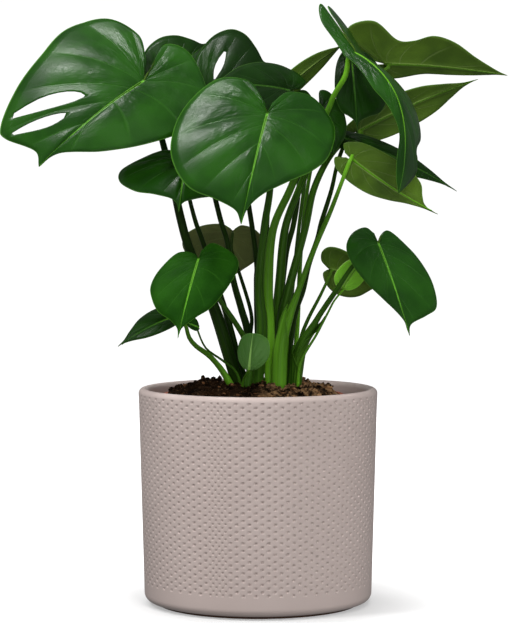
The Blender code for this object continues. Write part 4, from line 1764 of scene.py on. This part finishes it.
@dataclass
class Stalk:
    """One leaf stalk, which runs on under the blade as its raised midrib.

    The stalk thins from foot_to to shaft_from, and from there to its neck, with a knee at knee_place;
    all are shares of its length. flute is the depth of the channel down its back. The midrib runs to
    midrib_reach of the blade's length, starting at midrib_share of the neck's radius.
    """

    leaf: Leaf
    layout: Layout
    blade: Blade
    step: float = 0.005
    sides: int = 14
    flute: float = 0.10
    foot_to: float = 0.2
    shaft_from: float = 0.55
    knee_place: float = 0.93
    knee_width: float = 0.035
    knee_swell: float = 0.14
    midrib_step: float = 0.006
    midrib_reach: float = 0.93
    midrib_share: float = 0.62
    midrib_end: float = 0.0005

    def radius(self, share: float) -> float:
        """Work out the stalk's radius at a share of its length, with a knee below the blade.

        Args:
            share: From 0 at the buried end to 1 at the joint.

        Returns:
            The radius.
        """
        girth = self.leaf.girth
        if share < self.shaft_from:
            part = eased((share - self.foot_to) / (self.shaft_from - self.foot_to))
            size = girth.foot + (girth.shaft - girth.foot) * part
        else:
            part = eased((share - self.shaft_from) / (1 - self.shaft_from))
            size = girth.shaft + (girth.neck - girth.shaft) * part
        knee = math.exp(-(((share - self.knee_place) / self.knee_width) ** 2))
        return size / 2 * (1 + self.knee_swell * knee)

    def centre_line(self) -> list[Vector]:
        """Run a smooth line through the stalk's marks.

        Returns:
            Points on its centre line, from the buried end to the blade's joint.
        """
        foot = Vector((0, 0, self.layout.rim_level)) + Vector((*self.leaf.foot, 0)) * FOOT_PITCH
        neck = self.leaf.girth.neck
        joint, up = self.blade.joint, self.blade.up
        marks = [foot - Vector((0, 0, STALK_DEPTH)), foot]
        marks += [self.layout.point(place) for place in self.leaf.route]
        marks += [joint - up * neck * below for below in NECK_MARKS]
        ends = [marks[0] * 2 - marks[1], *marks, marks[-1] * 2 - marks[-2]]
        line = [marks[0]]
        for a, b, c, d in zip(ends, ends[1:], ends[2:], ends[3:]):
            pieces = max(1, round((c - b).length / self.step))
            line += [catmull(a, b, c, d, i / pieces) for i in range(1, pieces + 1)]
        return line

    def stations(self) -> list[Station]:
        """Space stations along the stalk and along the midrib that it becomes under the blade.

        Returns:
            The stations.
        """
        line = self.centre_line()
        last = len(line) - 1
        found = [Station(place, self.radius(i / last), i / last) for i, place in enumerate(line)]
        start = self.leaf.girth.neck / 2 * self.midrib_share
        steps = max(6, int(self.blade.length / self.midrib_step))
        for i in range(1, steps + 1):
            v = self.midrib_reach * i / steps
            radius = start + (self.midrib_end - start) * v**0.7
            under = self.blade.thickness + self.blade.groove * 0.6 + radius * 0.35
            found.append(Station(self.blade.midrib(v) - self.blade.up * under, radius, 1.0))
        return found

    def build(self, shelf: SkinShelf) -> Object:
        """Make the stalk: a fluted ring that is extruded from station to station.

        Args:
            shelf: The skins that are built so far.

        Returns:
            The stalk's piece.
        """
        bm = bmesh.new()
        turn = bm.verts.layers.float.new("turn")
        share = bm.verts.layers.float.new("share")
        stations = self.stations()
        ring = bmesh.ops.create_circle(bm, segments=self.sides, radius=1.0)["verts"]
        for index, vert in enumerate(ring):
            vert[turn] = index / self.sides
            angle = math.tau * index / self.sides
            vert.co *= 1 - self.flute * math.exp(-((angle - math.pi) ** 2) / 0.25)
        frames = self.frames(stations)
        bmesh.ops.transform(bm, matrix=frames[0], verts=ring)
        edges = ring_edges(ring, bm.edges)
        bmesh.ops.contextual_create(bm, geom=edges)
        for before, after, station in zip(frames, frames[1:], stations[1:]):
            verts, edges = extruded(bm, edges)
            bmesh.ops.transform(bm, matrix=after @ before.inverted(), verts=verts)
            for vert in verts:
                vert[share] = station.share
        bmesh.ops.contextual_create(bm, geom=edges)
        bmesh.ops.recalc_face_normals(bm, faces=bm.faces)
        name = self.leaf.name
        skin = shelf.stalk(STALK_SKINS[self.leaf.stalk_tone])
        return finished(f"petiole_{name}", bm, (skin,), "leaf_stalk", f"stalk_{name}")

    @staticmethod
    def frames(stations: list[Station]) -> list[Matrix]:
        """Find a frame at each station, turned along the line without twist and scaled to its radius.

        Args:
            stations: The stations.

        Returns:
            Their frames.
        """
        places = [station.place for station in stations]
        behind = [places[0], *places[:-1]]
        ahead = [*places[1:], places[-1]]
        headings = [(after - before).normalized() for before, after in zip(behind, ahead)]
        turn = headings[0].to_track_quat("Z", "Y")
        frames = []
        for previous, heading, station in zip([headings[0], *headings], headings, stations):
            turn = previous.rotation_difference(heading) @ turn
            size = Matrix.Scale(station.radius, 4)
            frames.append(Matrix.Translation(station.place) @ turn.to_matrix().to_4x4() @ size)
        return frames


@dataclass
class Sheath:
    """A thin sheath that clasps a stalk's foot and ends in a free point.

    start and end are shares of the stalk's length. facing is the way its middle faces, in radians
    from the front, and wrap is how far its edges reach round, in radians. stand_off is its radius
    over the stalk's. tip_flare and edge_flare are how far its point and its edges stand away.
    """

    stalk: Stalk
    name: str
    start: float
    end: float
    facing: float
    wrap: float = 2.2
    stand_off: float = 1.12
    tip_flare: float = 0.0022
    edge_flare: float = 0.0012
    thickness: float = 0.0006

    def build(self, shelf: SkinShelf) -> Object:
        """Make the sheath from a flat grid that is wrapped round the stalk.

        Args:
            shelf: The skins that are built so far.

        Returns:
            The sheath's piece.
        """
        line = self.stalk.centre_line()
        bm = bmesh.new()
        bmesh.ops.create_grid(bm, x_segments=14, y_segments=30, size=1.0)
        turn = bm.verts.layers.float.new("turn")
        share = bm.verts.layers.float.new("share")
        for vert in bm.verts:
            across, along = vert.co.x, (vert.co.y + 1) / 2
            place = self.start + (self.end - self.start) * along
            centre = on_curve(line, place)
            heading = (on_curve(line, min(1.0, place + 0.01)) - centre).normalized()
            front = Vector((math.sin(self.facing), -math.cos(self.facing), 0))
            front = (front - heading * front.dot(heading)).normalized()
            side = heading.cross(front)
            angle = across * (self.wrap * (1 - eased((along - 0.45) / 0.6)) + 0.02)
            flare = self.tip_flare * eased((along - 0.55) / 0.45)
            flare += self.edge_flare * across**4 * eased(along / 0.3)
            radius = self.stalk.radius(place) * self.stand_off + flare
            vert.co = centre + (front * math.cos(angle) + side * math.sin(angle)) * radius
            vert[turn] = 0.5 + 0.3 * across
            vert[share] = 0.3 + 0.45 * along * abs(across)
        skin = shelf.stalk(STALK_SKINS[self.stalk.leaf.stalk_tone])
        piece = finished(f"sheath_{self.name}", bm, (skin,), "leaf_stalk")
        thickened(piece, self.thickness, 1)
        return piece


@dataclass
class Plant:
    """The monstera: its blades, their stalks and the sheaths at their feet."""

    layout: Layout

    def build(self) -> None:
        """Make every leaf."""
        shelf = SkinShelf()
        stalks = {}
        for leaf in LEAVES:
            blade = Blade(leaf, self.layout)
            blade.build(shelf)
            stalks[leaf.name] = Stalk(leaf, self.layout, blade)
            stalks[leaf.name].build(shelf)
        for sheath in (
            Sheath(stalks["right_low_folded"], "front", start=0.08, end=0.42, facing=-0.9),
            Sheath(stalks["lower_right"], "right_low", start=0.06, end=0.34, facing=-1.2),
            Sheath(stalks["lower_right"], "right_high", start=0.16, end=0.52, facing=1.9),
        ):
            sheath.build(shelf)


# ---------------------------------------------------------------------------------------------
# Studio
# ---------------------------------------------------------------------------------------------


@dataclass(frozen=True)
class Lamp:
    """A square soft light: where it hangs, the length of its side and its power in watts.

    aim is what it points at, and mirrored says whether glossy surfaces show it.
    """

    name: str
    place: Point
    size: float
    power: float
    aim: Point = (0.0, 0.0, 0.35)
    mirrored: bool = False


LAMPS = (
    Lamp(
        "crown_gloss",
        place=(-0.56, -0.12, 2.0),
        size=0.24,
        power=5.6,
        aim=(-0.06, -0.08, 0.48),
        mirrored=True,
    ),
    Lamp("key_left", place=(-1.15, -0.62, 1.75), size=0.34, power=24.0),
    Lamp("top_front", place=(0.35, -1.25, 2.1), size=0.5, power=20.0),
    Lamp("top_back", place=(-0.5, 0.8, 1.8), size=0.7, power=9.0),
    Lamp("fill_front", place=(0.25, -2.2, 0.50), size=1.2, power=26.0),
    Lamp("fill_right", place=(2.1, -0.2, 0.6), size=1.2, power=13.0),
    Lamp("fill_left", place=(-2.1, 0.2, 0.6), size=1.2, power=8.0),
    Lamp("fill_back", place=(0.3, 2.2, 0.8), size=1.2, power=20.0),
)


@dataclass
class Studio:
    """A pale floor, soft lights and the camera.

    wall_light is how bright the surroundings are to the object, and backdrop how bright they are to
    the camera.
    """

    floor_size: float = 12.0
    camera_distance: float = 2.5
    camera_height: float = 0.4254
    camera_pitch: float = 3.02
    lens: float = 144.0
    sensor: float = 36.0
    view_depth: float = 30.0
    wall_light: float = 0.15
    backdrop: float = 1.05

    def build_floor(self) -> None:
        """Lay the floor."""
        bm = bmesh.new()
        bmesh.ops.create_grid(bm, x_segments=8, y_segments=8, size=self.floor_size / 2)
        mesh = bpy.data.meshes.new("floor")
        bm.to_mesh(mesh)
        bm.free()
        mesh.materials.append(LitPaper("floor_paper", colour=(0.45, 0.45, 0.45)).build())
        floor = bpy.data.objects.new("floor", mesh)
        bpy.context.scene.collection.objects.link(floor)
        floor.visible_diffuse = False
        floor.visible_glossy = False

    def build_world(self) -> World:
        """Make a studio with a white backdrop all round and dim walls behind its lamps.

        Returns:
            The world.
        """
        world = bpy.data.worlds.new("studio")
        world.use_nodes = True
        tree = world.node_tree
        ray = tree.nodes.new("ShaderNodeLightPath")
        strength = tree.nodes.new("ShaderNodeMapRange")
        for socket, value in zip(strength.inputs[1:], (0.0, 1.0, self.wall_light, self.backdrop)):
            socket.default_value = value
        tree.links.new(ray.outputs["Is Camera Ray"], strength.inputs["Value"])
        background = tree.nodes["Background"]
        background.inputs["Color"].default_value = (1.0, 1.0, 1.0, 1.0)
        tree.links.new(strength.outputs[0], background.inputs["Strength"])
        return world

    def hang(self, lamp: Lamp) -> None:
        """Hang a lamp and turn it to its aim.

        Args:
            lamp: The lamp.
        """
        light: Light = bpy.data.lights.new(lamp.name, "AREA")
        light.shape = "SQUARE"
        light.size = lamp.size
        light.energy = lamp.power
        holder = bpy.data.objects.new(lamp.name, light)
        holder.location = lamp.place
        holder.rotation_euler = (Vector(lamp.aim) - Vector(lamp.place)).to_track_quat("-Z", "Y").to_euler()
        holder.visible_glossy = lamp.mirrored
        bpy.context.scene.collection.objects.link(holder)

    def build(self) -> None:
        """Set the world, the floor, the lights and the camera."""
        scene = bpy.context.scene
        scene.world = self.build_world()
        scene.view_settings.view_transform = "Standard"
        self.build_floor()
        for lamp in LAMPS:
            self.hang(lamp)
        camera = bpy.data.cameras.new("camera")
        camera.lens = self.lens
        camera.sensor_width = self.sensor
        camera.clip_end = self.view_depth
        holder = bpy.data.objects.new("camera", camera)
        holder.location = (0.0, -self.camera_distance, self.camera_height)
        holder.rotation_euler = (math.radians(90 - self.camera_pitch), 0.0, 0.0)
        scene.collection.objects.link(holder)
        scene.camera = holder


def dress_nursery_pot(node: Object) -> None:
    """Give the nursery pot's own solid its plastic.

    Args:
        node: The nursery pot's object.
    """
    plastic = MouldedPlastic(
        "terracotta_plastic", colour=(0.36, 0.085, 0.035), soiled=(0.05, 0.025, 0.015)
    ).build()
    for slot in node.material_slots:
        slot.material = plastic
    LOG.info("%s: dressed", node.name)


def main() -> None:
    """Build the looks in order: studio, pots, soil and plant."""
    logging.basicConfig(level=logging.INFO, format="%(name)s %(message)s")
    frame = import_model()
    Studio().build()
    CoverPot.from_frame().build()
    dress_nursery_pot(frame["nodes"]["nursery_pot"])
    PottingSoil.from_frame().build()
    Plant(Layout.from_frame()).build()


if __name__ == "__main__":
    main()
